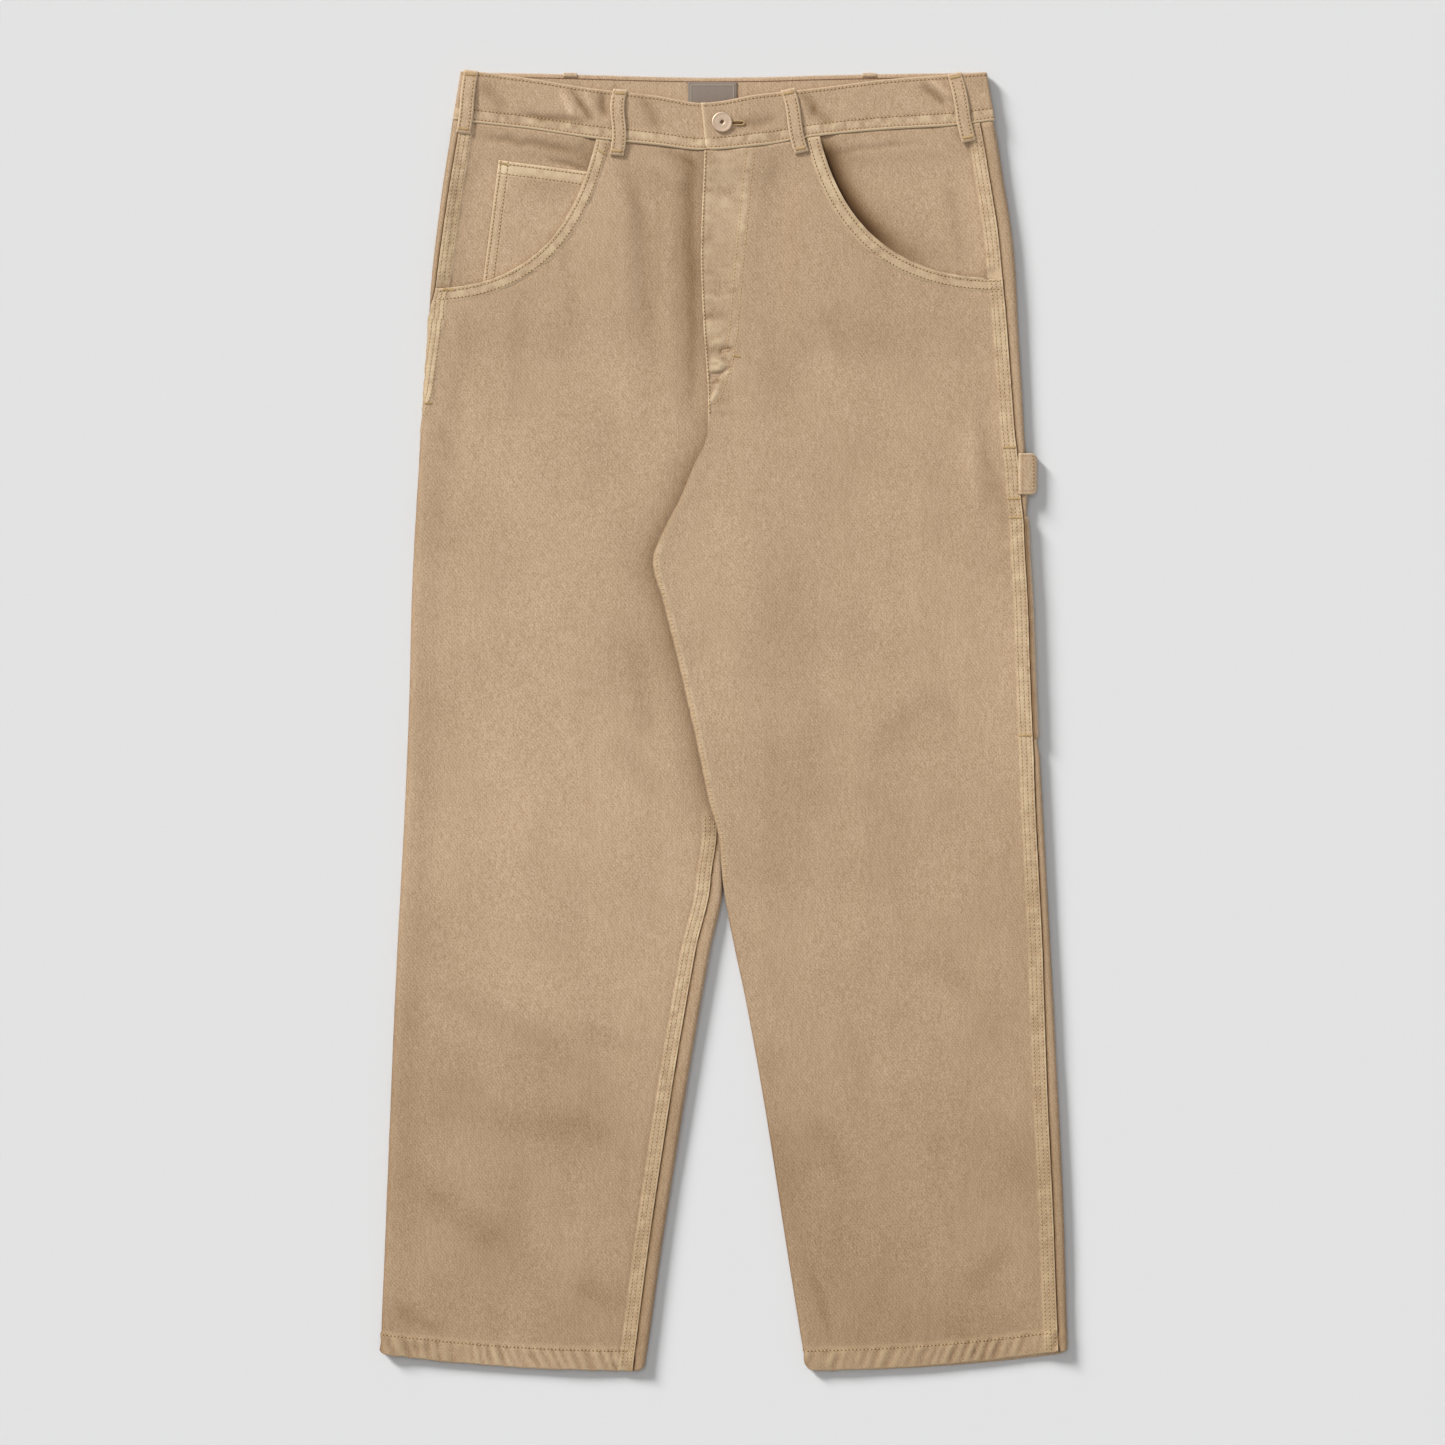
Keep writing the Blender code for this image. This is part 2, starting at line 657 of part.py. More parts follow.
def make_waistband():
    """One strip round the waist, which laps over itself at the button."""
    outer, inner = [], []
    for share in (0.0, 0.1, 0.5, 0.9, 1.0):
        outer_row, inner_row = [], []
        rounded = 0.35 if share in (0.0, 1.0) else 0.0
        for x, z, across, up, back in band_stations():
            px, py = band_point(x, back, share)
            normal = np.array((across, 0, up))
            point = np.array((px, py, z))
            flat = rounded if back < 1.0 else 0.0
            outer_row.append(point - normal * flat)
            inner_row.append(point - normal * BAND_CLOTH)
        outer.append(outer_row)
        inner.append(inner_row)
    wall("waistband", np.array(outer), np.array(inner))


def strip(name, path, across, width, cloth, slot="twill"):
    """A strap: path is its underside's points, across the unit direction of its width."""
    path = np.array(path, float)
    across = np.array(across, float)
    along = np.gradient(path, axis=0)
    up = np.cross(across, along)
    up /= np.linalg.norm(up, axis=1)[:, None]
    shares = np.array((-0.5, 0.0, 0.5))
    under = path[:, None, :] + across * (shares * width)[None, :, None]
    wall(name, under + up[:, None, :] * cloth, under, slot)


def make_front_loop(name, top_x, top_y, foot_x, foot_y, foot_z):
    """A belt loop over the front of the waistband."""
    top, foot = np.array((top_x, top_y)), np.array((foot_x, foot_y))
    reach = np.linalg.norm(top - foot)
    direction = (top - foot) / reach
    path = []
    over = BAND_TOP + SEAM_GAP
    for distance in (0, 3, 7, 11, 16, 22, 30, 38, 44, reach - 3, reach):
        share = distance / reach
        ground = foot_z + (over - foot_z) * float(ease(distance / 14))
        bow = LOOP_BOW * math.sin(math.pi * min(1.0, max(0.0, (share - 0.08) / 0.86)))
        path.append((*(foot + direction * distance), ground + bow))
    strip(name, path, (direction[1], -direction[0], 0.0), LOOP_WIDTH, LOOP_CLOTH)


def make_back_loop(name, x):
    """A loop under the back waistband, turned over its upper edge."""
    edge = float(back_band_top(x))
    low = BAND_UNDER - SEAM_GAP
    high = BAND_UNDER + BAND_CLOTH + SEAM_GAP
    half = (high - low) / 2
    path = [(x, edge - BACK_LOOP_TURN, high), (x, edge - 0.5, high)]
    for angle in (30, 60, 90, 120, 150):
        a = math.radians(angle)
        path.append((x, edge + 0.2 + 0.8 * math.sin(a), low + half * (1 + math.cos(a))))
    path += [(x, edge - 0.5, low), (x, edge - 12, low), (x, edge - 28, low), (x, BACK_LOOP_FOOT, low)]
    strip(name, path, (1.0, 0.0, 0.0), LOOP_WIDTH, CLOTH)


def make_tool_pocket(leg):
    """A patch on the left back leg, made from the panel's points moved out, up to the side seam."""
    outer, inner = [], []
    for y in np.linspace(TOOL_TOP, TOOL_FOOT, 8):
        section = ring(leg, y)
        total = section["lengths"][-1]
        start = total + seam_length(section, leg.outseam(y), "outer") - SEAM_GAP / 2 - 0.6
        end = total + seam_length(section, -(leg.outer(y) - TOOL_INSIDE), "outer")
        places = [start, total + 1.4, total - 1.4, total - 3.6, total - 6.0]
        places += list(np.linspace(total - 30, end, 4))
        outer_row, inner_row = [], []
        for length in places:
            point, normal = place(leg, section, y, length)
            outer_row.append(point + normal * (SEAM_GAP + CLOTH))
            inner_row.append(point + normal * SEAM_GAP)
        outer.append(outer_row)
        inner.append(inner_row)
    wall("tool_pocket", np.array(outer), np.array(inner))


def make_hammer_loop(leg):
    """A strap out of the side seam that bows round the side of the leg to the back."""
    middle = (HAMMER_TOP + HAMMER_FOOT) / 2
    side = float(leg.outer(middle))
    top = float(outer_top(middle)) + SEAM_RELIEF
    seam_x = side - float(leg.outseam(middle)) - 1.0
    path = [(seam_x, middle, top + 0.4), (seam_x + 4, middle, top + 0.5), (side + 1.5, middle, top - 0.4)]
    path += [(HAMMER_REACH - 3.4, middle, top - 1.8), (HAMMER_REACH - 1.5, middle, 3.4)]
    path += [(HAMMER_REACH - 2.6, middle, 1.9), (side + 2.0, middle, 1.2), (side - 4, middle, 1.2)]
    path += [(200, middle, 1.2), (HAMMER_INSIDE, middle, 1.2)]
    strip("hammer_loop", path, (0.0, -1.0, 0.0), HAMMER_TOP - HAMMER_FOOT, CLOTH)


def make_button():
    """A round shank button on the lapped end of the waistband."""
    low = BAND_TOP + BAND_LAP_RISE + 0.15
    profile = table(
        "radius height",
        (2.6, 0.0),
        (2.6, 0.7),
        (7.4, 0.7),
        (BUTTON_RADIUS, 1.5),
        (7.6, 2.3),
        (6.0, 2.7),
        (3.4, 2.2),
        (1.4, 1.5),
    )
    sides = 32
    points, faces = [], []
    for radius, height in zip(profile["radius"], profile["height"]):
        for k in range(sides):
            a = 2 * math.pi * k / sides
            x, y = BUTTON_X + radius * math.cos(a), BUTTON_Y + radius * math.sin(a)
            points.append((x, y, low + height))
    for ring_number in range(len(profile["radius"]) - 1):
        for k in range(sides):
            a = ring_number * sides + k
            b = ring_number * sides + (k + 1) % sides
            faces.append((a, b, b + sides, a + sides))
    faces.append(tuple(reversed(range(sides))))
    last = (len(profile["radius"]) - 1) * sides
    faces.append(tuple(last + k for k in range(sides)))
    solid("button", np.array(points), faces, "metal")


def make_label():
    """A plain woven label on the inside of the waistband's back half."""
    low = BAND_UNDER + BAND_CLOTH + 0.2
    x = np.array((LABEL_LEFT, LABEL_RIGHT))
    y = np.array((LABEL_TOP, LABEL_FOOT))
    grid = np.zeros((2, 2, 3))
    grid[:, :, 0] = x[None, :]
    grid[:, :, 1] = y[:, None]
    grid[:, :, 2] = low
    wall("label", grid + np.array((0, 0, LABEL_CLOTH)), grid, "woven")


for old in list(bpy.data.objects):
    bpy.data.objects.remove(old, do_unlink=True)
collection = bpy.data.collections.new("carpenter_pants")
bpy.context.scene.collection.children.link(collection)

facing_reach_right = curve(FACING_REACH["y"], FACING_REACH["right"])
facing_reach_left = curve(FACING_REACH["y"], FACING_REACH["left"])

wall("front_right", *panel_grids(right_leg, front_rows(right_leg, MOUTH_RIGHT), front_relief)[:2])
wall("front_left", *panel_grids(left_leg, front_rows(left_leg, MOUTH_LEFT), front_relief)[:2])
wall("back_right", *panel_grids(right_leg, back_rows(right_leg), back_relief)[:2])
wall("back_left", *panel_grids(left_leg, back_rows(left_leg), back_relief)[:2])
make_facing("pocket_facing_right", right_leg, mouth_right_y, facing_reach_right)
make_facing("pocket_facing_left", left_leg, mouth_left_y, facing_reach_left)
make_patch_on(
    "coin_pocket",
    lambda x, y: facing_height(right_leg, mouth_right_y, x, y),
    COIN_CORNERS,
    rows=8,
    columns=8,
    gap=0.6,
    cloth=1.0,
)
make_waistband()
for row in zip(*FRONT_LOOPS.values()):
    make_front_loop(*row)
for row in zip(*BACK_LOOPS.values()):
    make_back_loop(*row)
make_tool_pocket(left_leg)
make_hammer_loop(left_leg)
make_button()
make_label()
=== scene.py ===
"""Looks for the carpenter pants: fine cloth on the CAD's form, with its seams, stitching and creases.

Lengths in the tables are millimetres in the drawing's frame, the one that the CAD solids were drawn in.
"""

import math

import bmesh
import bpy
import numpy as np
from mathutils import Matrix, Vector
from mathutils.bvhtree import BVHTree


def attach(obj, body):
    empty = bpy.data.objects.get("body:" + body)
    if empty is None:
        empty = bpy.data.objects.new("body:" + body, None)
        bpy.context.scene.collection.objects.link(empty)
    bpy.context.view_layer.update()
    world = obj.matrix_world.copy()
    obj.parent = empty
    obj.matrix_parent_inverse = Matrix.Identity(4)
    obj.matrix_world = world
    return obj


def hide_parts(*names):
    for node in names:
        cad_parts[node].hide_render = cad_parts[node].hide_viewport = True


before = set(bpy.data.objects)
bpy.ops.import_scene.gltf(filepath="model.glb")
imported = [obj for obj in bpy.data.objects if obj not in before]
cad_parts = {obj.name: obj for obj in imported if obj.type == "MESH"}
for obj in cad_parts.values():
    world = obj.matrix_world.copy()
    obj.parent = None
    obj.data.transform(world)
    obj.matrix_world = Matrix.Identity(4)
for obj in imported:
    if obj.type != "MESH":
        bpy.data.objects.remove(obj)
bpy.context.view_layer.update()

MM = 0.001
CENTRE = (-0.97, 0.88, 0.0)

# Cloth, seams and layers, as in the solids
CLOTH = 1.2
SEAM_GAP = 0.3
SEAM_WIDTH = 11.0
SEAM_RELIEF = 0.6
OUTER_ROUND = 2.7
INNER_ROUND = 2.1
LEG_LEVEL = 3.4
SIDE_RUN = 24.0
INNER_RUN = 15.0
INNER_CURL = 0.8
WAIST_LIFT = 1.7
WAIST_LEVEL = 5.9
POCKET_LEVEL = 6.2
FLY_RISE = 2.2
CROTCH_LIFT = 4.85
PATCH_LIFT = CLOTH + SEAM_GAP
POCKET_FOOT = 335.0
HEM_Y = -503.4
HEM_DEPTH = 17.0
HEM_DROP = 15.4
HEM_TILT_FROM = -235.0
HEM_ROW = 1.2
HEM_MEAN = HEM_Y - HEM_DROP * 0.6

# Waistband
BAND_CLOTH = 2.0
BAND_UNDER = 1.5
BAND_TOP = 6.7
BAND_ROUND = 2.6
BAND_LAP_RISE = 2.3
BAND_LAP_END = 12.0
BAND_LAP_FLAT = 16.0
BAND_LAP_RUN = 30.0
BAND_HIGH = 38.8
BAND_OVERLAP_END = -16.5

# Sewing. A real stitch here is 2.3 mm long; it is drawn a little longer and thicker, so that it shows.
STITCH_PITCH = 3.0
BAR_PITCH = 0.62
STITCH_LIFT = 0.12
STITCH_SHARE = 0.58
THREAD = 0.74
BAR_RADIUS = THREAD * 0.62
# Sizes of the dark beads of painted shade at the needle holes, on plain rows and on felled seams
NEEDLE_HOLE = 0.62
FELLED_HOLE = 0.46

# Stitched rows, as distances from the edge or seam that they run beside
FELLED_ROWS = (2.0, 5.6, 9.2)
EDGE_ROWS = (2.6, 8.8)
EDGE_WIDTH = 10.4
COIN_TOP_ROWS = (2.4, 10.4)
COIN_SIDE_ROWS = (2.2, 8.0)
BAND_FOOT_ROWS = (2.4, 9.6)
BAND_HEAD_ROW = 2.8
BAND_INSIDE_ROW = 3.4
STRAP_ROW = 2.2
FLY_ROW = 3.6
FLY_J_GAP = 6.4


def table(columns, *rows):
    """Named columns, each a list that runs down the rows."""
    return {name: [row[i] for row in rows] for i, name in enumerate(columns.split())}


def curve(places, values):
    """A function that runs smoothly through the values, with no overshoot between them."""
    place = np.array(places, float)
    value = np.array(values, float)
    if place[0] > place[-1]:
        place, value = place[::-1], value[::-1]
    step = np.diff(place)
    rise = np.diff(value) / step
    slope = np.zeros(len(place))
    slope[0], slope[-1] = rise[0], rise[-1]
    both = rise[:-1] + rise[1:]
    turning = rise[:-1] * rise[1:] <= 0
    slope[1:-1] = np.where(turning, 0.0, 2 * rise[:-1] * rise[1:] / np.where(turning, 1.0, both))

    def read(at):
        at = np.clip(at, place[0], place[-1])
        k = np.clip(np.searchsorted(place, at) - 1, 0, len(step) - 1)
        t = (at - place[k]) / step[k]
        return (
            value[k] * (2 * t**3 - 3 * t**2 + 1)
            + slope[k] * step[k] * (t**3 - 2 * t**2 + t)
            + value[k + 1] * (3 * t**2 - 2 * t**3)
            + slope[k + 1] * step[k] * (t**3 - t**2)
        )

    return read


def ease(t):
    """0 up to t = 0, 1 from t = 1, and a soft S between."""
    t = np.clip(t, 0.0, 1.0)
    return t * t * (3 - 2 * t)


def peak(distance, half):
    """A soft peak with long sides: 1 at no distance and about a third at half."""
    return np.exp(-((distance / half) ** 2))


def spot(across, half_wide, up, half_high):
    """A soft oval spot, 1 in its middle."""
    return np.exp(-((across / half_wide) ** 2) - (up / half_high) ** 2)


def fading(distance, reach):
    """1 at no distance, about a third at reach, and hardly anything far away."""
    return np.exp(-distance / reach)


def bump(distance, half):
    """A soft bump, 1 at no distance and 0 from half on."""
    return 1 - ease(np.abs(distance) / half)


def noise(x, y, seed):
    """Smooth random heights between -1 and 1, about one bump to a unit."""
    x, y = np.broadcast_arrays(np.asarray(x, float), np.asarray(y, float))
    column, row = np.floor(x).astype(np.int64), np.floor(y).astype(np.int64)
    across, up = ease(x - column), ease(y - row)

    def corner(i, j):
        value = (i * 374761393 + j * 668265263 + seed * 974711) & 0xFFFFFFFF
        value = ((value ^ (value >> 13)) * 1274126177) & 0xFFFFFFFF
        return (value ^ (value >> 16)) / 0xFFFFFFFF * 2 - 1

    low = corner(column, row) * (1 - across) + corner(column + 1, row) * across
    high = corner(column, row + 1) * (1 - across) + corner(column + 1, row + 1) * across
    return low * (1 - up) + high * up


# The wearer's right leg, which lies underneath. outer and inner are its silhouettes. outseam, inseam
# and back_seam are how far in from a silhouette a seam lies: on top where positive, below where negative.
RIGHT = table(
    "y outer inner outseam inseam back_seam",
    (481, -217.0, -6.3, 6.4, 8.2, -2.6),
    (417, -226.8, -6.3, 5.6, 8.2, -2.6),
    (346, -234.8, -6.3, 4.0, 8.2, -2.6),
    (330, -235.8, -6.3, 1.0, 8.2, -2.6),
    (305, -237.2, -6.3, -1.4, 8.2, -2.6),
    (257, -240.6, -6.3, -5.0, 8.2, -2.6),
    (228, -242.6, -6.3, -8.0, 8.2, -2.6),
    (205, -244.2, -6.0, -10.0, 5.0, 0.0),
    (177, -246.0, -3.5, -12.0, 5.0, 5.0),
    (97, -250.0, -1.5, -12.0, 5.0, 5.0),
    (17, -252.0, -1.5, -12.0, 5.0, 5.0),
    (-87, -256.4, -1.0, -12.0, 5.0, 5.0),
    (-128, -258.6, -1.0, -12.0, 10.0, 10.0),
    (-183, -261.6, -11.0, -12.0, 12.0, 12.0),
    (-263, -265.2, -25.0, -12.0, 12.0, 12.0),
    (-343, -268.4, -38.0, -12.0, 11.5, 11.5),
    (-423, -271.6, -50.6, -12.0, 10.5, 10.5),
    (-521, -276.0, -64.0, -12.0, 9.6, 9.6),
)

# The wearer's left leg, which lies on top at the crotch.
LEFT = table(
    "y outer inner outseam inseam back_seam",
    (481, 215.4, -17.6, 12.0, 2.1, -9.0),
    (449, 220.4, -18.6, 11.2, 2.1, -10.0),
    (372, 231.6, -21.2, 11.2, 2.1, -12.6),
    (315, 234.8, -19.0, 9.2, 2.1, -10.4),
    (254, 238.6, -15.4, 8.4, 2.1, -6.8),
    (230, 239.6, -15.8, 7.6, 2.1, -7.2),
    (203, 241.2, -26.1, 6.0, 1.0, -1.0),
    (177, 242.2, -36.2, 5.2, 0.0, 0.0),
    (158, 243.4, -46.2, 4.4, 0.0, 0.0),
    (143, 244.2, -53.0, 4.6, 0.0, 0.0),
    (128, 245.2, -57.0, 4.8, 0.0, 0.0),
    (94, 247.4, -48.4, 5.0, 0.0, 0.0),
    (38, 249.4, -34.5, 5.2, 0.0, 0.0),
    (-24, 252.0, -20.6, 5.2, 0.0, 0.0),
    (-61, 254.0, -13.0, 6.0, 0.0, 0.0),
    (-95, 255.8, -4.2, 6.2, 0.0, 0.0),
    (-128, 257.6, -1.4, 6.2, -0.6, -0.6),
    (-175, 260.2, 6.8, 6.4, -2.0, -2.0),
    (-223, 262.8, 17.0, 7.4, -4.0, -4.0),
    (-319, 268.0, 34.0, 9.0, -7.0, -7.0),
    (-415, 272.2, 48.8, 8.8, -8.0, -8.0),
    (-521, 274.4, 65.6, 7.0, -8.0, -8.0),
)

# The height of each leg's rounded sides.
SIDES = table(
    "y outer_top right_inner_top",
    (481, 6.3, 4.2),
    (440, 6.2, 4.2),
    (330, 6.0, 4.2),
    (250, 5.6, 4.2),
    (-100, 5.6, 4.2),
    (-170, 5.4, 5.0),
    (-521, 5.2, 5.0),
)

# The waistband's edges across the front, and the back's top edge.
BAND = table(
    "x bottom top back_top",
    (-217, 480.6, 519.4, 519.4),
    (-200, 478.0, 518.6, 518.6),
    (-160, 473.6, 514.2, 518.0),
    (-104, 465.4, 505.4, 516.6),
    (-55, 460.2, 499.8, 515.2),
    (-16, 456.0, 493.8, 514.6),
    (30, 459.8, 501.0, 515.0),
    (74, 467.4, 505.8, 516.2),
    (130, 472.6, 512.8, 517.4),
    (185, 475.8, 516.8, 518.2),
    (216, 480.0, 518.6, 518.6),
)

# Pocket mouths, each a cubic curve from the waistband down to the side seam.
MOUTH_RIGHT = ((-102.8, 463.2), (-118.0, 400.0), (-150.0, 347.0), (-233.4, 345.8))
MOUTH_LEFT = ((76.4, 465.2), (92.0, 400.0), (132.0, 352.0), (224.0, 354.0))

# Belt loops across the front: where the upper end and the foot lie, the height of the foot,
# and how far the strap bends to one side on its way.
LOOP_WIDTH = 11.4
LOOP_CLOTH = 1.6
FRONT_LOOPS = table(
    "name top_x top_y foot_x foot_y foot_z sway",
    ("belt_loop_side_right", -202.0, 519.6, -208.6, 469.4, 7.3, 0.4),
    ("belt_loop_front_right", -83.2, 504.6, -86.2, 451.8, 6.9, 1.5),
    ("belt_loop_front_left", 50.2, 504.6, 61.6, 454.0, 6.9, -0.8),
    ("belt_loop_side_left", 183.4, 517.4, 195.2, 462.8, 7.3, -0.6),
)
BACK_LOOPS = table(
    "name x",
    ("belt_loop_back_right", -123.6),
    ("belt_loop_back_left", 116.0),
)

TOOL_TOP, TOOL_FOOT, TOOL_INSIDE = 163.6, -13.2, 128.0
HAMMER_TOP, HAMMER_FOOT, HAMMER_INSIDE = 214.0, 181.2, 165.0
HAMMER_REACH = 250.0
FACING_SINK = 3.0
FACING_FOOT = 332.0
FACING_REACH = table(
    "y right left",
    (470, -86.0, 64.0),
    (420, -97.0, 76.0),
    (390, -108.0, 94.0),
    (365, -122.0, 116.0),
    (330, -124.0, 124.0),
)
COIN_CORNERS = ((-180.4, 448.4), (-100.0, 437.8), (-128.0, 338.0), (-194.6, 338.0))
LABEL_LEFT, LABEL_RIGHT, LABEL_TOP, LABEL_FOOT = -29.2, 10.0, 510.8, 486.0
BUTTON_X, BUTTON_Y, BUTTON_RADIUS = -2.0, 478.0, 8.2

# The J-shaped row of the fly, from the waistband down and round to the fly's edge
FLY_J = ((24.0, 455.0), (21.0, 432.0), (18.4, 400.0), (15.4, 372.0), (12.6, 338.0), (10.4, 312.0),
         (6.0, 286.0), (-3.0, 259.0), (-12.0, 251.0))
fly_j_x = curve(*np.array(FLY_J).T[::-1])

# Creases in the front cloth: two ends, half width and depth, a ridge where the depth is negative
CREASES = table(
    "x0 y0 x1 y1 half depth",
    (-27.0, 452.0, -27.0, 330.0, 9.0, 0.9),
    (-25.0, 330.0, -27.0, 250.0, 8.0, 0.7),
    (-48.0, 455.0, -23.0, 443.0, 5.0, 0.7),
    (-60.0, 447.0, -30.0, 432.0, 8.0, -0.4),
    (-84.0, 447.0, -62.0, 392.0, 11.0, 0.6),
    (-66.0, 400.0, -58.0, 300.0, 10.0, 0.45),
    (-45.0, 420.0, -44.0, 280.0, 11.0, -0.5),
    (-128.0, 395.0, -122.0, 318.0, 9.0, 0.35),
    (-160.0, 335.0, -168.0, 250.0, 12.0, 0.3),
    (-206.0, 320.0, -214.0, 226.0, 11.0, 0.45),
    (-226.0, 236.0, -213.0, 196.0, 9.0, 0.4),
    (40.0, 452.0, 34.0, 400.0, 8.0, 0.35),
    (78.0, 330.0, 96.0, 290.0, 12.0, 0.3),
    (205.0, 255.0, 212.0, 170.0, 9.0, 0.55),
    (196.0, 240.0, 199.0, 180.0, 8.0, -0.3),
    (216.0, 196.0, 224.0, 150.0, 8.0, 0.5),
    (150.0, -190.0, 196.0, -212.0, 16.0, 0.35),
    (176.0, 20.0, 120.0, -20.0, 20.0, 0.3),
    (-76.0, 60.0, -60.0, -10.0, 18.0, 0.5),
    (-84.0, -20.0, -52.0, -62.0, 16.0, 0.4),
    (-220.0, -225.0, -130.0, -262.0, 18.0, 0.35),
    (-110.0, -246.0, -72.0, -262.0, 12.0, 0.35),
    (-190.0, -318.0, -90.0, -330.0, 22.0, 0.4),
    (-240.0, -372.0, -180.0, -420.0, 22.0, 0.45),
    (-120.0, -450.0, -80.0, -470.0, 16.0, 0.4),
    (-262.0, -470.0, -226.0, -486.0, 10.0, 0.5),
    (230.0, -420.0, 196.0, -456.0, 16.0, 0.45),
    (70.0, -440.0, 84.0, -488.0, 7.0, 0.5),
    (78.0, -320.0, 96.0, -370.0, 16.0, 0.35),
)

# Small tight puckers at the fly's foot
FLY_PUCKERS = table(
    "x0 y0 x1 y1 half depth",
    (-4.4, 294.8, 6.0, 298.8, 2.6, 0.8),
    (-12.4, 275.6, -5.2, 276.8, 2.4, 0.9),
    (-6.0, 276.8, 4.4, 283.9, 2.4, 0.9),
    (-10.0, 289.2, -1.2, 284.4, 2.6, -0.8),
    (-1.2, 290.0, 4.4, 286.0, 2.2, 0.7),
    (-10.8, 282.8, -2.0, 280.4, 2.4, -0.6),
    (-11.6, 300.4, -2.0, 303.6, 3.0, -0.4),
    (-4.4, 267.6, -11.6, 254.0, 3.4, -0.5),
    (-10.0, 270.0, -3.6, 272.4, 2.2, 0.45),
)

# Creases across the waistband
BAND_CREASES = table(
    "x0 y0 x1 y1 half depth",
    (-121.0, 504.0, -116.0, 493.0, 4.0, 0.5),
    (-117.0, 495.0, -106.0, 481.0, 4.4, 0.8),
    (-129.0, 500.0, -119.0, 482.0, 5.0, -0.5),
    (-99.0, 500.0, -95.0, 484.0, 6.0, 0.7),
    (-112.0, 503.0, -105.0, 490.0, 4.0, -0.3),
    (-160.0, 483.0, -112.0, 479.0, 5.0, 0.6),
    (158.0, 506.0, 176.0, 494.0, 5.0, 0.7),
    (164.0, 513.0, 180.0, 499.0, 4.4, -0.4),
    (68.0, 488.0, 86.0, 477.0, 7.0, 0.5),
    (64.0, 501.0, 72.0, 486.0, 7.0, 0.5),
    (8.0, 474.0, 40.0, 480.0, 6.0, 0.45),
    (-66.0, 498.0, -52.0, 474.0, 8.0, 0.4),
    (-192.0, 508.0, -176.0, 488.0, 9.0, 0.45),
)

# Creases in the pocket facings
FACING_CREASES = table(
    "x0 y0 x1 y1 half depth",
    (-190.0, 466.0, -122.0, 457.2, 5.5, 0.7),
    (-138.0, 448.4, -109.2, 441.2, 2.6, 0.7),
    (-212.0, 440.0, -219.0, 370.0, 5.0, 0.5),
    (92.0, 455.0, 150.0, 462.0, 4.0, 0.4),
    (180.0, 430.0, 190.0, 372.0, 8.0, 0.3),
)

# Creases inside the back waistband
INSIDE_CREASES = table(
    "x0 y0 x1 y1 half depth",
    (-126.0, 500.0, -104.0, 511.0, 4.0, 0.7),
    (-90.0, 500.0, -76.0, 514.0, 5.0, 0.5),
    (30.0, 498.0, 48.0, 512.0, 5.0, 0.5),
)


def creased(x, y, rows):
    """How far the cloth lies below its form over (x, y), from a table of creases."""
    depth = np.zeros(np.shape(x))
    for x0, y0, x1, y1, half, deep in zip(*rows.values()):
        along = np.array((x1 - x0, y1 - y0))
        reach = np.linalg.norm(along)
        along = along / reach
        run = (x - x0) * along[0] + (y - y0) * along[1]
        side = (y - y0) * along[0] - (x - x0) * along[1]
        side = side + 0.25 * half * noise(run / (1.6 * half), 0.37 * x0, 5)
        ends = ease((run / reach + 0.25) / 0.5) * ease((1.25 - run / reach) / 0.5)
        depth += deep * peak(side, 0.6 * half) * ends
    return depth


